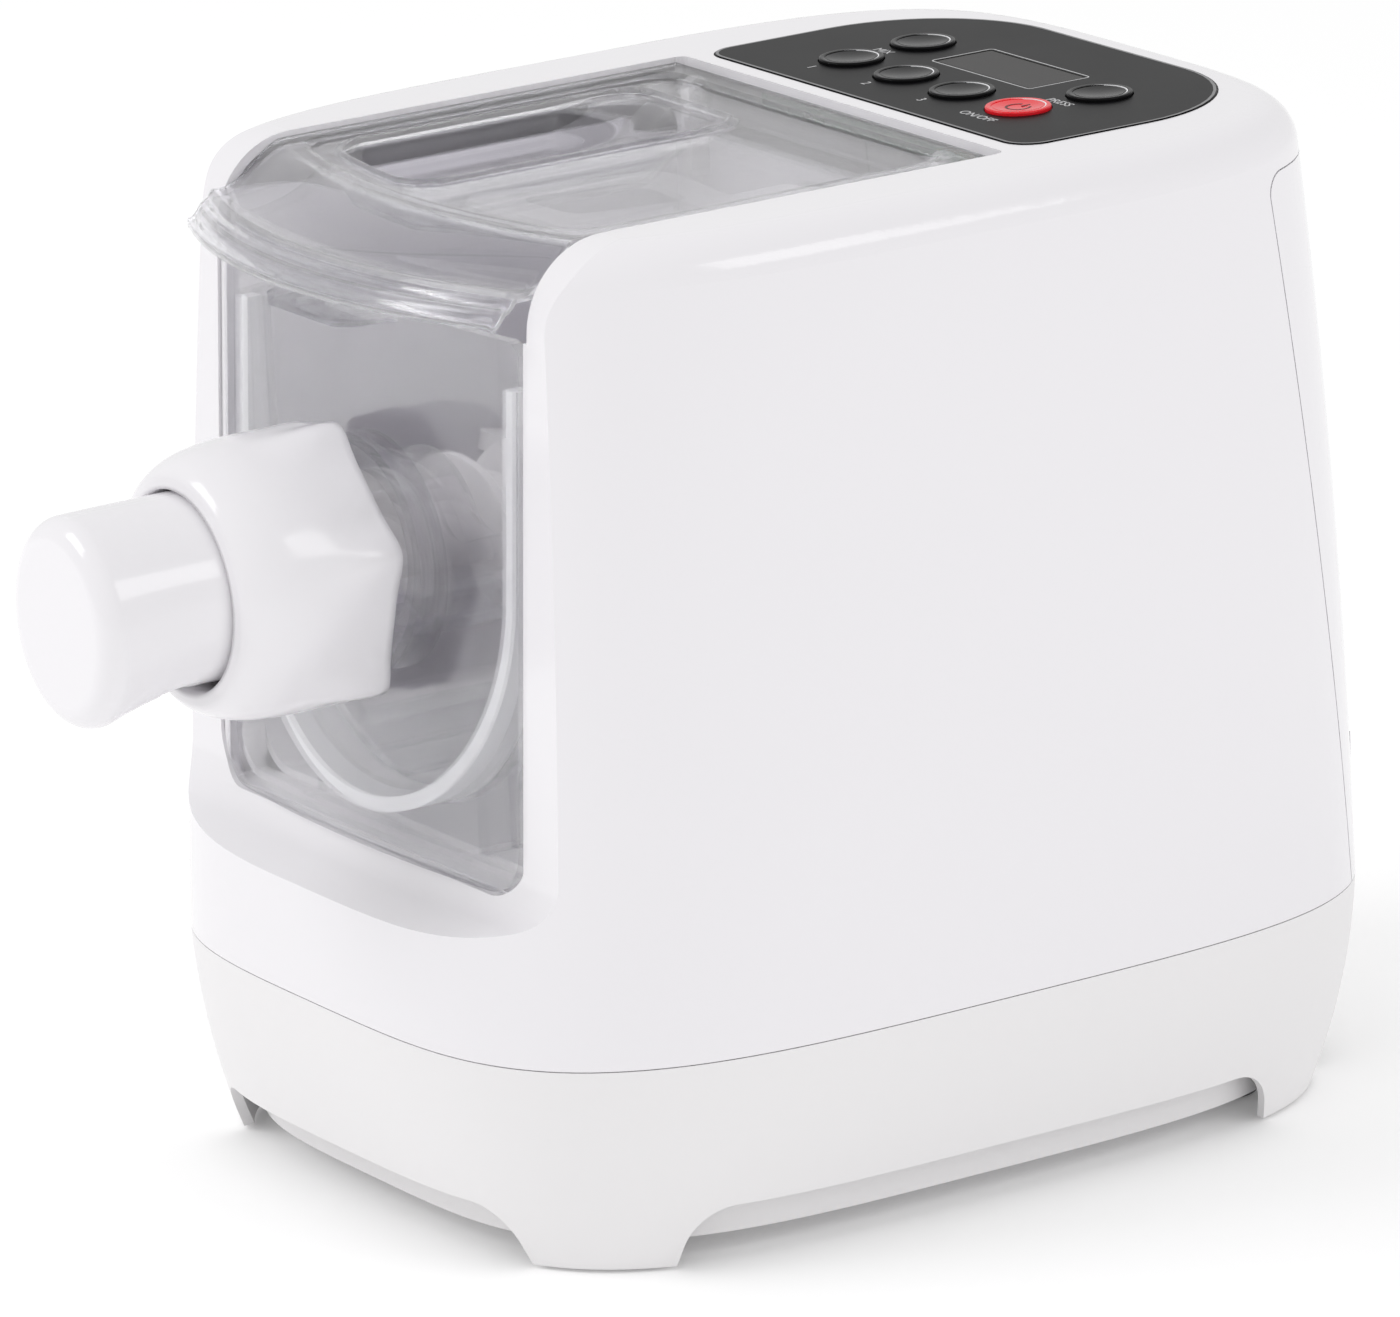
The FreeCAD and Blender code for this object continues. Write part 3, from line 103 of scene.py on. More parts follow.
class Finish:
    """A procedural material: one Principled shader with detail added to its inputs."""

    def __init__(self, name, color, roughness, metallic=0.0, **sockets):
        self.material = bpy.data.materials.new(name)
        self.material.use_nodes = True
        self.tree = self.material.node_tree
        self.shader = self.tree.nodes["Principled BSDF"]
        self.shader.inputs["Base Color"].default_value = (*color, 1.0)
        self.shader.inputs["Roughness"].default_value = roughness
        self.shader.inputs["Metallic"].default_value = metallic
        for key, value in sockets.items():
            self.shader.inputs[key.replace("_", " ")].default_value = value
        self.place = add_node(self.tree, "ShaderNodeTexCoord").outputs["Object"]
        self.normal = None

    def noise(self, scale, detail, stretch=(1.0, 1.0, 1.0)):
        mapping = add_node(
            self.tree, "ShaderNodeMapping", inputs={"Vector": self.place, "Scale": stretch}
        )
        inputs = {
            "Vector": mapping.outputs["Vector"],
            "Scale": scale,
            "Detail": detail,
            "Roughness": 0.55,
        }
        node = add_node(self.tree, "ShaderNodeTexNoise", inputs=inputs)
        return Varying(self.tree, node.outputs["Fac"])

    def mottle(self, patches, other):
        """Base colour moves towards another colour where patches are high."""
        target = self.shader.inputs["Base Color"]
        first, second = 6, 7
        inputs = {"Factor": patches, first: tuple(target.default_value), second: (*other, 1.0)}
        node = add_node(self.tree, "ShaderNodeMix", {"data_type": "RGBA"}, inputs)
        self.tree.links.new(node.outputs[2], target)

    def grain(self, pattern, spread, least):
        """Roughness goes from least up to least + spread over the pattern."""
        rough = pattern * spread + least
        self.tree.links.new(rough.socket, self.shader.inputs["Roughness"])

    def relief(self, pattern, height):
        """Fine waves on the surface, up to a height in metres."""
        inputs = {"Height": pattern, "Distance": height, "Strength": 1.0}
        if self.normal is not None:
            inputs["Normal"] = self.normal
        self.normal = add_node(self.tree, "ShaderNodeBump", inputs=inputs).outputs["Normal"]
        self.tree.links.new(self.normal, self.shader.inputs["Normal"])


# The machine's finishes
def darker(color, share):
    return tuple(c * share for c in color)


def plain_finish(name, color, roughness, pattern, spread, least, **sockets):
    finish = Finish(name, color, roughness, **sockets)
    finish.grain(finish.noise(*pattern), spread, least)
    return finish


def white_plastic(name, color, roughness, texture, **sockets):
    finish = Finish(name, color, roughness, **sockets)
    finish.mottle(finish.noise(7.0, 2.0).step(0.35, 0.75) * 0.25, darker(color, 0.975))
    finish.grain(finish.noise(60.0, 4.0), 0.05, roughness - 0.025)
    finish.relief(finish.noise(900.0, 2.0), texture)
    finish.relief(finish.noise(16.0, 1.0), 0.00004)
    return finish


def clear_plastic():
    finish = Finish(
        "clear_tint_look",
        (0.955, 0.95, 0.985),
        0.02,
        Transmission_Weight=1.0,
        IOR=1.30,
        Alpha=0.36,
    )
    finish.grain(finish.noise(30.0, 3.0), 0.03, 0.012)
    finish.relief(finish.noise(14.0, 1.5), 0.00006)
    return finish


def lid_plastic():
    finish = Finish(
        "lid_look",
        (0.94, 0.935, 0.98),
        0.02,
        Transmission_Weight=1.0,
        IOR=1.42,
        Alpha=0.62,
    )
    finish.grain(finish.noise(30.0, 3.0), 0.02, 0.008)
    finish.mottle(finish.noise(12.0, 2.0).step(0.4, 0.8) * 0.3, (0.90, 0.89, 0.96))
    return finish


def rubber():
    finish = Finish("rubber_look", (0.045, 0.045, 0.047), 0.75)
    finish.mottle(finish.noise(120.0, 5.0).step(0.4, 0.7), (0.06, 0.06, 0.062))
    finish.relief(finish.noise(700.0, 3.0), 0.00003)
    return finish


def turned_metal(name, color, roughness):
    finish = Finish(name, color, roughness, 1.0)
    finish.grain(finish.noise(90.0, 4.0, (1.0, 12.0, 1.0)), 0.16, roughness - 0.08)
    finish.mottle(finish.noise(25.0, 3.0).step(0.5, 0.8) * 0.4, darker(color, 0.85))
    finish.relief(finish.noise(400.0, 2.0, (1.0, 18.0, 1.0)), 0.00001)
    return finish


def panel_glass():
    finish = plain_finish(
        "black_gloss_look",
        (0.004, 0.004, 0.0045),
        0.3,
        (20.0, 3.0),
        0.06,
        0.26,
        Specular_IOR_Level=0.03,
    )
    finish.relief(finish.noise(10.0, 1.0), 0.00003)
    return finish


def module_plastic():
    color = (0.035, 0.035, 0.036)
    finish = plain_finish("module_look", color, 0.5, (140.0, 4.0), 0.14, 0.42)
    finish.relief(finish.noise(800.0, 2.0), 0.00002)
    return finish


def circuit_board():
    finish = Finish("board_look", (0.03, 0.16, 0.07), 0.35)
    tracks = finish.noise(160.0, 1.0, (1.0, 4.0, 1.0)).step(0.52, 0.56)
    finish.mottle(tracks, (0.05, 0.22, 0.10))
    return finish


def gear_nylon():
    color = (0.80, 0.78, 0.70)
    finish = plain_finish("nylon_look", color, 0.42, (120.0, 3.0), 0.12, 0.36)
    finish.mottle(finish.noise(40.0, 4.0).step(0.4, 0.7) * 0.5, (0.76, 0.74, 0.66))
    return finish


def red_key():
    color = (0.80, 0.012, 0.022)
    fine = (70.0, 3.0)
    finish = plain_finish("key_red_look", color, 0.2, fine, 0.08, 0.16, Specular_IOR_Level=0.25)
    finish.mottle(finish.noise(50.0, 3.0).step(0.4, 0.8) * 0.3, (0.70, 0.01, 0.016))
    return finish


def make_materials():
    white = (0.835, 0.82, 0.845)
    warm_white = (0.82, 0.808, 0.815)
    black = (0.005, 0.005, 0.0055)
    glass = (0.006, 0.0045, 0.004)
    shine = {"Coat_Weight": 0.35, "Coat_Roughness": 0.06, "Specular_IOR_Level": 0.5}
    finishes = {
        "white_gloss": white_plastic("white_gloss_look", white, 0.16, 0.000004, **shine),
        "white_satin": white_plastic("white_satin_look", warm_white, 0.34, 0.000012),
        "clear_tint": clear_plastic(),
        "lid_clear": lid_plastic(),
        "seal_clear": plain_finish("seal_look", (0.80, 0.80, 0.82), 0.45, (80.0, 3.0), 0.1, 0.4),
        "rubber_dark": rubber(),
        "steel": turned_metal("steel_look", (0.56, 0.56, 0.57), 0.28),
        "plated_steel": turned_metal("plated_steel_look", (0.60, 0.60, 0.57), 0.36),
        "bronze": turned_metal("bronze_look", (0.60, 0.42, 0.22), 0.42),
        "motor_steel": turned_metal("motor_steel_look", (0.50, 0.50, 0.52), 0.33),
        "black_gloss": panel_glass(),
        "display_glass": plain_finish(
            "display_look", glass, 0.2, (30.0, 3.0), 0.06, 0.18, Specular_IOR_Level=0.05
        ),
        "module_black": module_plastic(),
        "board_green": circuit_board(),
        "gear_nylon": gear_nylon(),
        "key_black": plain_finish(
            "key_black_look", black, 0.2, (70.0, 3.0), 0.08, 0.16, Specular_IOR_Level=0.08
        ),
        "key_red": red_key(),
        "mark": plain_finish("mark_look", (0.55, 0.55, 0.56), 0.5, (200.0, 2.0), 0.1, 0.45),
        "dark_mark": plain_finish(
            "dark_mark_look", (0.10, 0.004, 0.006), 0.5, (200.0, 2.0), 0.1, 0.45
        ),
        # Light grey finish that paints the keys' highlight crescents.
        "silver": plain_finish("silver_painted_highlight_look", (0.85, 0.85, 0.87), 0.25, (120.0, 3.0), 0.1, 0.2),
        "edge": plain_finish("edge_look", (0.16, 0.16, 0.165), 0.35, (150.0, 3.0), 0.1, 0.3),
    }
    return {name: finish.material for name, finish in finishes.items()}


materials = make_materials()
slots = {entry["node"]: entry["material_slot"] for entry in frame["record"]["subparts"]}
for name, obj in nodes.items():
    obj.data.materials.clear()
    obj.data.materials.append(materials[slots[name]])


# Small helpers for shapes
def piece(name, verts, faces, material, body, smooth=False, turn_out=False):
    """A mesh piece from points in millimetres, riding on a body."""
    mesh = bpy.data.meshes.new(name)
    mesh.from_pydata([Vector(v) * MM for v in verts], [], faces)
    mesh.materials.append(materials[material])
    for poly in mesh.polygons:
        poly.use_smooth = smooth
    mesh.update()
    if turn_out:
        tool = bmesh.new()
        tool.from_mesh(mesh)
        bmesh.ops.recalc_face_normals(tool, faces=tool.faces)
        tool.to_mesh(mesh)
        tool.free()
    obj = bpy.data.objects.new(name, mesh)
    scene.collection.objects.link(obj)
    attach(obj, body)
    return obj


def ribbon(outer, inner, low, high):
    """A closed band between two loops of plan points, as vertices and faces."""
    n = len(outer)
    verts = [(x, y, z) for z in (high, low) for loop in (outer, inner) for x, y in loop]
    faces = []
    for i in range(n):
        j = (i + 1) % n
        faces.append((i, j, n + j, n + i))
        faces.append((2 * n + j, 2 * n + i, 3 * n + i, 3 * n + j))
        faces.append((j, i, 2 * n + i, 2 * n + j))
        faces.append((n + i, n + j, 3 * n + j, 3 * n + i))
    return verts, faces


def on_circle(x, y, radius, degrees):
    a = math.radians(degrees)
    return (x + radius * math.cos(a), y + radius * math.sin(a))


def circle(x, y, radius, steps=72):
    return [on_circle(x, y, radius, i * 360 / steps) for i in range(steps)]


def rounded_box(x, y, half_x, half_y, radius, steps=8):
    points = []
    for side_x, side_y, start in ((1, 1, 0), (-1, 1, 90), (-1, -1, 180), (1, -1, 270)):
        corner_x = x + side_x * (half_x - radius)
        corner_y = y + side_y * (half_y - radius)
        for i in range(steps + 1):
            points.append(on_circle(corner_x, corner_y, radius, start + 90 * i / steps))
    return points


def ease(value, low, high):
    t = min(1.0, max(0.0, (value - low) / (high - low)))
    return t * t * (3 - 2 * t)


# Marks on the control panel and its keys
PANEL_TOP = 275.3
FRONT_ROW, BACK_ROW = 68.8, 94.0
KEYS = {
    "key_one_cup": (-39.9, FRONT_ROW, "1"),
    "key_two_cups": (-13.3, FRONT_ROW, "2"),
    "key_three_cups": (13.3, FRONT_ROW, "3"),
    "key_power": (39.9, FRONT_ROW, "ON/OFF"),
    "key_knead": (-42.0, BACK_ROW, "MIX"),
    "key_extrude": (42.0, BACK_ROW, "PRESS"),
}


def panel_outline(inset):
    """The panel's plan outline, as in the CAD: small corners in front, large ones behind."""
    half, front, back = 77.0 - inset, 44.0 + inset, 129.5 - inset
    front_radius, back_radius, steps = 9.0 - inset, 44.0 - inset, 12
    points = []
    for side, edge, inward, r, start in (
        (1, back, -1, back_radius, 0),
        (-1, back, -1, back_radius, 90),
        (-1, front, 1, front_radius, 180),
        (1, front, 1, front_radius, 270),
    ):
        for i in range(steps + 1):
            x, y = on_circle(side * (half - r), edge + inward * r, r, start + 90 * i / steps)
            points.append((x, y + SHIFT))
    return points


def words(name, text, x, y, z, size, material, body):
    curve = bpy.data.curves.new(name, "FONT")
    curve.body = text
    curve.size = size * MM
    curve.extrude = 0.03 * MM
    curve.align_x, curve.align_y = "CENTER", "CENTER"
    temp = bpy.data.objects.new(name, curve)
    scene.collection.objects.link(temp)
    bpy.context.view_layer.update()
    depsgraph = bpy.context.evaluated_depsgraph_get()
    mesh = bpy.data.meshes.new_from_object(temp.evaluated_get(depsgraph))
    bpy.data.objects.remove(temp)
    mesh.transform(Matrix.Translation(Vector((x, y, z)) * MM))
    mesh.materials.clear()
    mesh.materials.append(materials[material])
    obj = bpy.data.objects.new(name, mesh)
    scene.collection.objects.link(obj)
    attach(obj, body)


def panel_marks():
    low, line_top, print_top = PANEL_TOP - 0.3, PANEL_TOP + 0.02, PANEL_TOP + 0.03
    verts, faces = ribbon(panel_outline(0.45), panel_outline(1.25), low, line_top)
    piece("panel_edge_line", verts, faces, "edge", "housing")
    outer = rounded_box(0, BACK_ROW + SHIFT, 23.6, 10.4, 1.6)
    inner = rounded_box(0, BACK_ROW + SHIFT, 23.2, 10.0, 1.2)
    verts, faces = ribbon(outer, inner, low, print_top)
    piece("display_outline", verts, faces, "mark", "housing")
    to_label, letter_size = 13.2, 4.2
    for key, (x, y, text) in KEYS.items():
        place = (x, y + SHIFT - to_label, print_top)
        words("label_" + key, text, *place, letter_size, "mark", "housing")


def power_sign(x, y, low, high):
    """The open ring and the upright bar in the middle of the red key."""
    steps, gap_start, sweep = 32, 125, 290
    turns = [gap_start + sweep * i / steps for i in range(steps + 1)]
    loop = [on_circle(x, y, 3.6, turn) for turn in turns]
    loop += [on_circle(x, y, 2.9, turn) for turn in reversed(turns)]
    n, half = len(loop), len(turns)
    verts = [(a, b, high) for a, b in loop] + [(a, b, low) for a, b in loop]
    faces = []
    for i in range(half - 1):
        faces.append((i, i + 1, n - 2 - i, n - 1 - i))
        faces.append((n + i + 1, n + i, 2 * n - 1 - i, 2 * n - 2 - i))
    for i in range(n):
        j = (i + 1) % n
        faces.append((j, i, n + i, n + j))
    piece("power_ring", verts, faces, "dark_mark", "key_power")
    half_width, bar_from, bar_to = 0.35, y + 1.2, y + 4.6
    left, right = x - half_width, x + half_width
    bar = [(left, bar_from), (right, bar_from), (right, bar_to), (left, bar_to)]
    verts = [(a, b, high) for a, b in bar] + [(a, b, low) for a, b in bar]
    faces = [(0, 1, 2, 3), (7, 6, 5, 4), (1, 0, 4, 5), (2, 1, 5, 6), (3, 2, 6, 7), (0, 3, 7, 4)]
    piece("power_bar", verts, faces, "dark_mark", "key_power")


def key_marks():
    """Painted highlights: a bright crescent round each key, widest behind, standing in for the
    light the key's rim reflects, and the red key's power sign.
    """
    key_top = PANEL_TOP + 1.0
    for key, (x, y, _) in KEYS.items():
        outer = circle(x, y + SHIFT, 8.55)
        inner = circle(x, y + SHIFT - 0.62, 7.85)
        verts, faces = ribbon(outer, inner, key_top - 0.7, key_top - 0.06)
        # Each crescent is a painted highlight: a light ring laid on the key where its rim would
        # catch the light.
        piece("crescent_" + key, verts, faces, "silver", key)
    x, y, _ = KEYS["key_power"]
    power_sign(x, y + SHIFT, key_top - 0.75, key_top - 0.52)


panel_marks()
key_marks()


# The clear lid
LID_TOP, LID_SHEET = 274.2, 2.3
LID_HALF, LID_BOW = 76.5, 17.0
LID_FRONT, LID_BACK = -122.0, 34.3
LID_RADIUS = (LID_HALF ** 2 + LID_BOW ** 2) / (2 * LID_BOW)


def inside_rounded(x, y, x0, x1, y0, y1, radius):
    """Distance into a rounded rectangle; negative outside."""
    dx = abs(x - (x0 + x1) / 2) - ((x1 - x0) / 2 - radius)
    dy = abs(y - (y0 + y1) / 2) - ((y1 - y0) / 2 - radius)
    outside = math.hypot(max(dx, 0), max(dy, 0))
    return radius - outside - min(max(dx, dy), 0)


def lid_height(x, run):
    """Top of the lid at x and at a distance run back from its front edge."""
    nose_drop, lip_drop = 10.5, 6.6
    z = LID_TOP - nose_drop * (1 - ease(run, 12.0, 34.0)) - lip_drop * (1 - ease(run, 0.0, 11.0))
    for bead_height, bead_run, bead_width in ((1.0, 4.5, 1.6), (0.8, 8.6, 1.2)):
        z += bead_height * math.exp(-((run - bead_run) / bead_width) ** 2)
    pane = inside_rounded(x, run, -69.0, 69.0, 38.0, 165.5, 9.0)
    z -= 1.5 * ease(pane, 0.0, 1.4)
    well = inside_rounded(x, run, -62.0, -6.0, 46.0, 150.0, 12.0)
    well_rim, well_depth = 1.3, 11.0
    z += well_rim * (ease(well, -2.2, -0.9) - ease(well, -0.4, 0.9))
    slope = 1.0 - 0.55 * ease(run, 118.0, 150.0)
    z -= well_depth * ease(well, 0.6, 4.5 + 12.0 * ease(run, 118.0, 140.0)) * slope
    return z


def lid_front(x):
    """y of the lid's bowed front edge."""
    return LID_FRONT - (math.sqrt(LID_RADIUS ** 2 - x ** 2) - (LID_RADIUS - LID_BOW))


def lid_sheet():
    """The clear lid as one moulded sheet: bowed lip, flat frame, sunk pane and filling well."""
    across, along = 132, 190
    longest = LID_BACK - LID_FRONT + LID_BOW
    edge_drop, edge_width = 0.9, 1.8
    top = []
    for j in range(along + 1):
        share = j / along
        share *= 0.55 + 0.45 * share
        for i in range(across + 1):
            x = LID_HALF * (2 * i / across - 1)
            length = LID_BACK - lid_front(x)
            z = lid_height(x, share * longest)
            z -= edge_drop * (1 - ease(LID_HALF - abs(x), 0.0, edge_width)) ** 2
            top.append((x, lid_front(x) + share * length + SHIFT, z))
    low = [(x, y, z - LID_SHEET) for x, y, z in top]
    row, n = across + 1, len(top)
    faces = []
    for j in range(along):
        for i in range(across):
            a = j * row + i
            faces.append((a, a + 1, a + row + 1, a + row))
            faces.append((n + a, n + a + row, n + a + row + 1, n + a + 1))
    rim = list(range(row))
    rim += [j * row + across for j in range(1, along + 1)]
    rim += [along * row + i for i in range(across - 1, -1, -1)]
    rim += [j * row for j in range(along - 1, 0, -1)]
    for a, b in zip(rim, rim[1:] + rim[:1]):
        faces.append((b, a, n + a, n + b))
    return piece("lid_sheet", top + low, faces, "lid_clear", "lid", smooth=True)


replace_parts(lid_sheet(), "clear_lid")


# The outlet nut
NUT_CENTER_Z = 179.0
NUT_BACK = -130.0
NUT_RADIUS, NUT_FRONT_RADIUS, NUT_BORE = 37.6, 29.5, 27.35
RIDGE_TURN, RIDGE_HEIGHT, RIDGE_PITCH = 14.0, 3.4, 60.0


def off_ridge(turn):
    """0 on a ridge, 1 halfway between two."""
    half = RIDGE_PITCH / 2
    return abs((turn - RIDGE_TURN + half) % RIDGE_PITCH - half) / half


def nut_radius(share, turn):
    """Outer radius at a share of the length from the back: ridges that fade forwards."""
    shoulder = 0.42
    radius = NUT_RADIUS
    if share >= shoulder:
        round_over = 1 - ((share - shoulder) / (1 - shoulder)) ** 2.2
        rise = NUT_RADIUS - NUT_FRONT_RADIUS
        radius = NUT_FRONT_RADIUS + rise * math.sqrt(max(0.0, round_over))
    ridge = math.exp(-((off_ridge(turn) / 0.34) ** 2))
    return radius + RIDGE_HEIGHT * ridge * (1 - ease(share, 0.08, 0.62))


def nut_rim(turn):
    """y of the wavy rim at the back, drawn in between the ridges."""
    return NUT_BACK - 0.1 - 1.7 * math.sin(math.pi * off_ridge(turn) / 2) ** 1.5


def outlet_nut():
    """The nut as a lathe: up the front face, back along the outside and in by the bore."""
    steps, sections = 180, 30
    front_y, face_y, inner_radius, inner_y = -174.9, -174.6, 34.8, -160.8
    verts, rings = [], []

    def ring(radius_at, y_at):
        rings.append(len(verts))
        for i in range(steps):
            turn = 360.0 * i / steps
            x, z = on_circle(0.0, NUT_CENTER_Z, radius_at(turn), turn)
            verts.append((x, y_at(turn) + SHIFT, z))

    ring(lambda turn: NUT_BORE, lambda turn: front_y)
    ring(lambda turn: 28.9, lambda turn: front_y)
    for k in range(sections, -1, -1):
        share = math.sin(math.pi / 2 * k / sections)
        ring(
            lambda turn: nut_radius(share, turn),
            lambda turn: nut_rim(turn) + (face_y - nut_rim(turn)) * share,
        )
    ring(lambda turn: nut_radius(0.0, turn) - 0.7, lambda turn: nut_rim(turn) + 0.35)
    ring(lambda turn: 35.4, lambda turn: nut_rim(turn) + 0.3)
    ring(lambda turn: inner_radius, lambda turn: nut_rim(turn) - 0.5)
    ring(lambda turn: inner_radius, lambda turn: inner_y)
    ring(lambda turn: NUT_BORE, lambda turn: inner_y)
    faces = []
    for a, b in zip(rings, rings[1:] + rings[:1]):
        for i in range(steps):
            j = (i + 1) % steps
            faces.append((a + i, a + j, b + j, b + i))
    return piece(
        "outlet_nut", verts, faces, "white_gloss", "nut", smooth=True, turn_out=True
    )


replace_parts(outlet_nut(), "die_nut")


# The trim round the bay
def bay_trim():
    """White strip that closes the gap between the bay's lining and the clear panel's edge."""
    front_lean = 10.0 / 176.0
    outer_x, inner_x, back_y = 77.4, 74.4, -108.3
    foot_outer_z, foot_inner_z = 100.45, 100.95
    path = [(-1, 249.0), (-1, 112.0), (-1, None), (1, None), (1, 112.0), (1, 249.0)]
    verts, faces = [], []
    for side, height in path:
        z = 100.6 if height is None else height
        outer_z = foot_outer_z if height is None else z
        inner_z = foot_inner_z if height is None else z
        front_y = -120.0 + front_lean * (z - 99.0)
        for y in (front_y, back_y):
            verts.append((side * outer_x, y + SHIFT, outer_z))
            verts.append((side * inner_x, y + SHIFT, inner_z))
    for i in range(len(path) - 1):
        a, b = 4 * i, 4 * i + 4
        for p, q in ((0, 1), (1, 3), (3, 2), (2, 0)):
            faces.append((a + p, a + q, b + q, b + p))
    last = 4 * (len(path) - 1)
    faces += [(0, 2, 3, 1), (last, last + 1, last + 3, last + 2)]
    piece("bay_trim", verts, faces, "white_gloss", "housing", turn_out=True)


bay_trim()


# Screws and vent bars on the back
def repeated(name, shape, size, points, material, body):
    """Copies of one small shape at given points, kept as a plain mesh on one body."""
    point_mesh = bpy.data.meshes.new(name + "_points")
    point_mesh.from_pydata([Vector(p) * MM for p in points], [], [])
    carrier = bpy.data.objects.new(name + "_carrier", point_mesh)
    scene.collection.objects.link(carrier)
    single = bpy.data.objects.new(name + "_single", shape)
    scene.collection.objects.link(single)

    tree = bpy.data.node_groups.new(name + "_nodes", "GeometryNodeTree")
    tree.interface.new_socket("Geometry", in_out="INPUT", socket_type="NodeSocketGeometry")
    shape_input = tree.interface.new_socket(
        "Shape", in_out="INPUT", socket_type="NodeSocketObject"
    )
    size_input = tree.interface.new_socket("Size", in_out="INPUT", socket_type="NodeSocketVector")
    tree.interface.new_socket("Geometry", in_out="OUTPUT", socket_type="NodeSocketGeometry")
    given = add_node(tree, "NodeGroupInput").outputs
    source = add_node(tree, "GeometryNodeObjectInfo", inputs={"Object": given["Shape"]})
    copies = add_node(
        tree,
        "GeometryNodeInstanceOnPoints",
        inputs={
            "Points": given["Geometry"],
            "Instance": source.outputs["Geometry"],
            "Scale": given["Size"],
        },
    )
    real = add_node(
        tree,
        "GeometryNodeRealizeInstances",
        inputs={"Geometry": copies.outputs["Instances"]},
    )
    painted = add_node(
        tree,
        "GeometryNodeSetMaterial",
        inputs={"Geometry": real.outputs["Geometry"], "Material": materials[material]},
    )
    add_node(tree, "NodeGroupOutput", inputs={"Geometry": painted.outputs["Geometry"]})

    modifier = carrier.modifiers.new("copies", "NODES")
    modifier.node_group = tree
    modifier[shape_input.identifier] = single
    modifier[size_input.identifier] = [length * MM for length in size]
    bpy.context.view_layer.update()
    depsgraph = bpy.context.evaluated_depsgraph_get()
    mesh = bpy.data.meshes.new_from_object(carrier.evaluated_get(depsgraph))
    bpy.data.objects.remove(carrier)
    bpy.data.objects.remove(single)
    obj = bpy.data.objects.new(name, mesh)
    scene.collection.objects.link(obj)
    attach(obj, body)


def screw_head():
    """A low round screw head facing back, with its sizes in millimetres."""
    tool = bmesh.new()
    steps, loops = 28, []
    for radius, out in ((3.1, 0.0), (3.1, 0.45), (2.7, 0.8), (1.2, 1.0)):
        around = (on_circle(0.0, 0.0, radius, 360 * i / steps) for i in range(steps))
        loops.append([tool.verts.new((x, out, z)) for x, z in around])
    for a, b in zip(loops, loops[1:]):
        for i in range(steps):
            j = (i + 1) % steps
            tool.faces.new((a[i], a[j], b[j], b[i]))
    tool.faces.new(loops[0][::-1])
    tool.faces.new(loops[-1])
    bmesh.ops.recalc_face_normals(tool, faces=tool.faces)
    mesh = bpy.data.meshes.new("screw_head")
    tool.to_mesh(mesh)
    tool.free()
    return mesh


def unit_bar():
    tool = bmesh.new()
    bmesh.ops.create_cube(tool, size=1.0)
    mesh = bpy.data.meshes.new("unit_bar")
    tool.to_mesh(mesh)
    tool.free()
    return mesh


def back_details():
    depsgraph = bpy.context.evaluated_depsgraph_get()
    cover = BVHTree.FromObject(nodes["rear_cover"], depsgraph)

    def cover_y(x, z):
        """y of the rear cover's outer face."""
        hit = cover.ray_cast(Vector((x * MM, 1.0, z * MM)), Vector((0.0, -1.0, 0.0)))
        return hit[0].y / MM

    sunk = 0.55
    screws = [(x, cover_y(x, z) - sunk, z) for x in (-58.0, 58.0) for z in (118.0, 236.0)]
    repeated("rear_screws", screw_head(), (1.0, 1.0, 1.0), screws, "steel", "housing")

    side_x, pitch, behind_face = 30.0, 4.0, 4.4
    low_z, middle_z, bar_size = 148.0, 184.0, (1.1, 1.1, 74.0)
    columns = [side * side_x + i * pitch for side in (-1, 1) for i in range(-5, 6)]
    bars = [(x, cover_y(x, low_z) - behind_face, middle_z) for x in columns]
    repeated("vent_bars", unit_bar(), bar_size, bars, "module_black", "housing")


back_details()


# Camera, floor and light
def photo_camera():
    """The camera solved from the photograph, with its focal length and centre in pixels."""
    azimuth, elevation, roll = (math.radians(a) for a in (57.483, 16.163, -2.615))
    distance, aim_aside, aim_z = 2882.24, -11.429, 126.973
    width, height, sensor_width = 1400.0, 1317.0, 36.0
    focal, center_x, center_y = 10628.313, 703.284, 659.103
    back = Vector(
        (
            math.sin(azimuth) * math.cos(elevation),
            -math.cos(azimuth) * math.cos(elevation),
            math.sin(elevation),
        )
    )
    level = Vector((math.cos(azimuth), math.sin(azimuth), 0.0))
    up = back.cross(level)
    across = level * math.cos(roll) + up * math.sin(roll)
    upright = up * math.cos(roll) - level * math.sin(roll)
    eye = level * aim_aside + Vector((0.0, SHIFT, aim_z)) + back * distance
    data = bpy.data.cameras.new("photo_camera")
    data.sensor_fit = "HORIZONTAL"
    data.sensor_width = sensor_width
    data.lens = focal * sensor_width / width
    data.shift_x = (width / 2 - center_x) / width
    data.shift_y = (center_y - height / 2) / width
    data.clip_start, data.clip_end = 0.1, 60.0
    camera = bpy.data.objects.new("photo_camera", data)
    turn = Matrix((across, upright, back)).transposed().to_4x4()
    camera.matrix_world = Matrix.Translation(eye * MM) @ turn
    scene.collection.objects.link(camera)
    scene.camera = camera


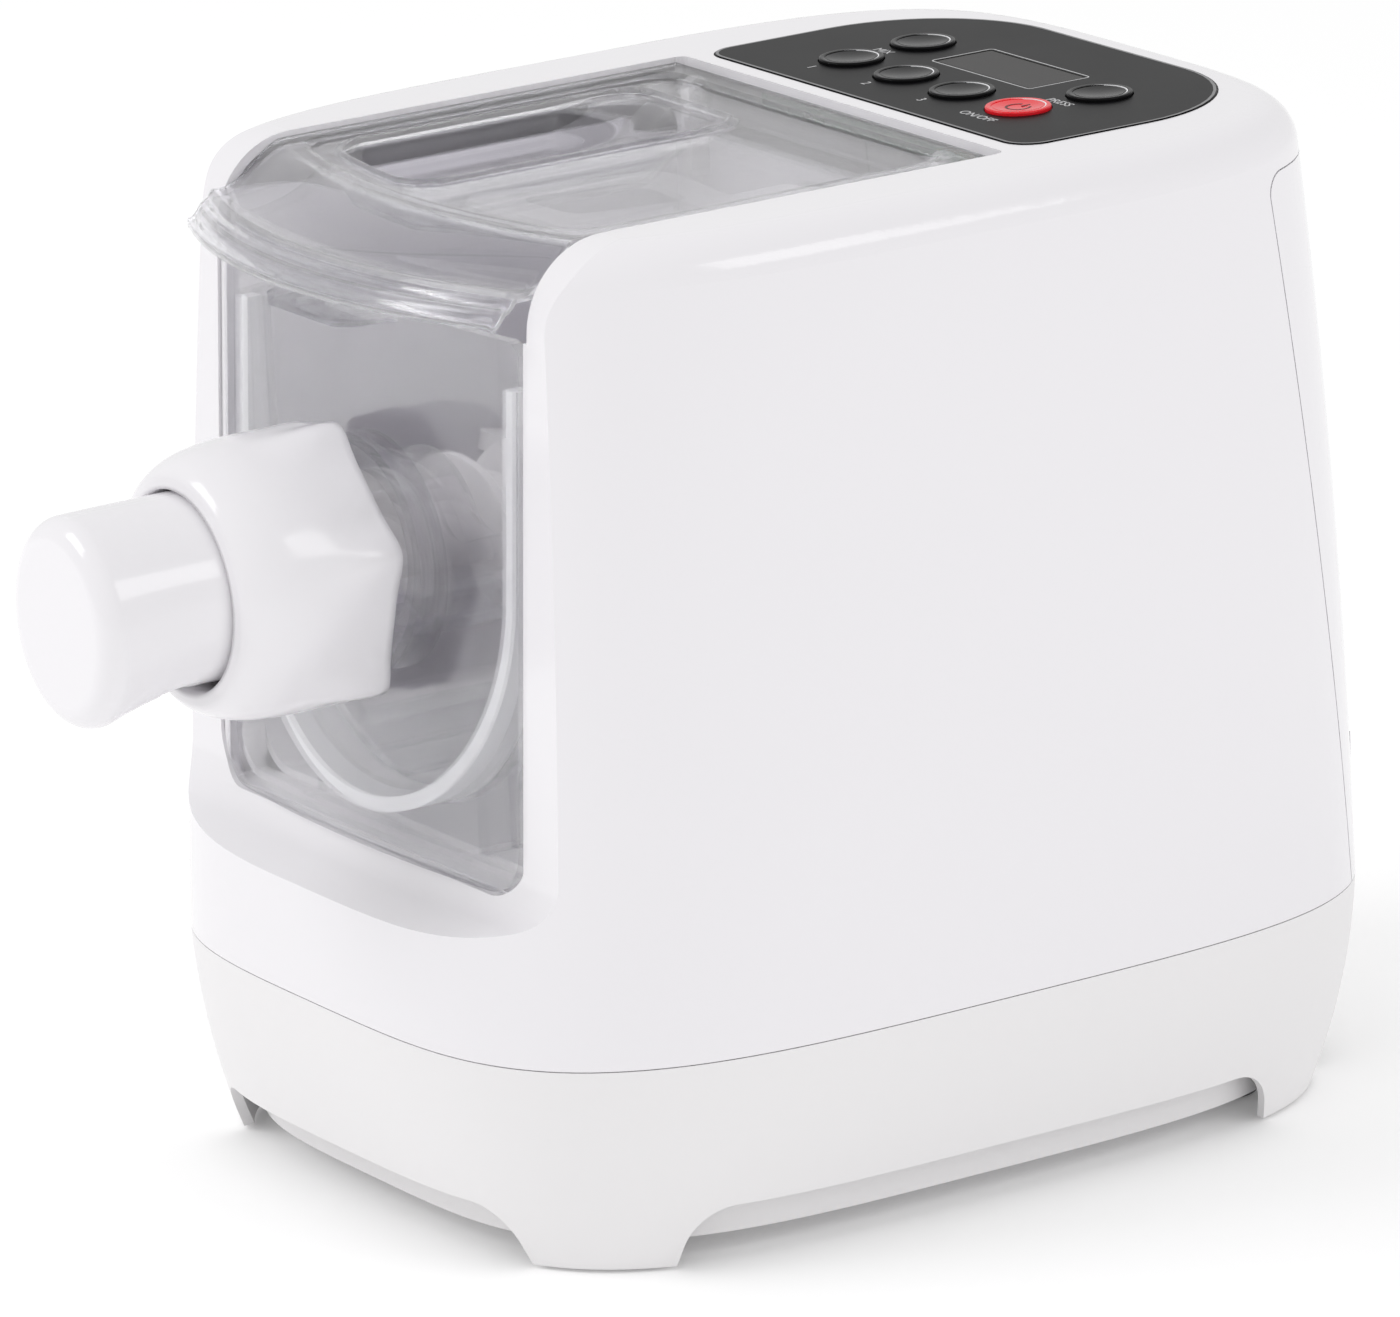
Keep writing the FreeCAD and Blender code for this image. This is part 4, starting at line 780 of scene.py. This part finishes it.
def area_light(name, place, target, size, power):
    """A rectangular lamp; places and sizes in metres, power in watts."""
    data = bpy.data.lights.new(name, "AREA")
    data.shape = "RECTANGLE"
    data.size, data.size_y = size
    data.energy = power
    lamp = bpy.data.objects.new(name, data)
    lamp.location = place
    direction = Vector(target) - Vector(place)
    lamp.rotation_euler = direction.to_track_quat("-Z", "Y").to_euler()
    scene.collection.objects.link(lamp)


def studio_floor():
    """A white floor 0.2 mm below the feet, with a faint glow of its own."""
    reach = 6.0
    corners = [(-reach, -reach, 0), (reach, -reach, 0), (reach, reach, 0), (-reach, reach, 0)]
    mesh = bpy.data.meshes.new("floor")
    mesh.from_pydata(corners, [], [(0, 1, 2, 3)])
    glow = {"Emission_Color": (1.0, 1.0, 1.0, 1.0), "Emission_Strength": 0.09}
    finish = Finish("floor_look", (0.97, 0.97, 0.97), 0.95, Specular_IOR_Level=0.0, **glow)
    mesh.materials.append(finish.material)
    obj = bpy.data.objects.new("floor", mesh)
    obj.location.z = -0.2 * MM
    scene.collection.objects.link(obj)


def studio_world():
    """Even white light, a little brighter where the camera or clear plastic sees it."""
    lighting, extra_when_seen = 0.84, 0.22
    world = bpy.data.worlds.new("studio")
    scene.world = world
    world.use_nodes = True
    tree = world.node_tree
    path = add_node(tree, "ShaderNodeLightPath").outputs
    by_camera = Varying(tree, path["Is Camera Ray"])
    seen = (by_camera + Varying(tree, path["Is Transmission Ray"])).at_most(1.0)
    background = tree.nodes["Background"]
    strength = seen * extra_when_seen + lighting
    tree.links.new(strength.socket, background.inputs["Strength"])
    background.inputs["Color"].default_value = (1.0, 1.0, 1.0, 1.0)


photo_camera()
studio_floor()
studio_world()
area_light("key_light", (-0.9, -1.6, 1.8), (0, 0, 0.12), (1.2, 1.0), 13.0)
area_light("side_light", (1.9, 0.9, 1.5), (0, 0, 0.15), (1.0, 0.8), 5.0)
scene.view_settings.view_transform = "Standard"
scene.cycles.transmission_bounces = 16
scene.cycles.max_bounces = 20
scene.cycles.transparent_max_bounces = 16
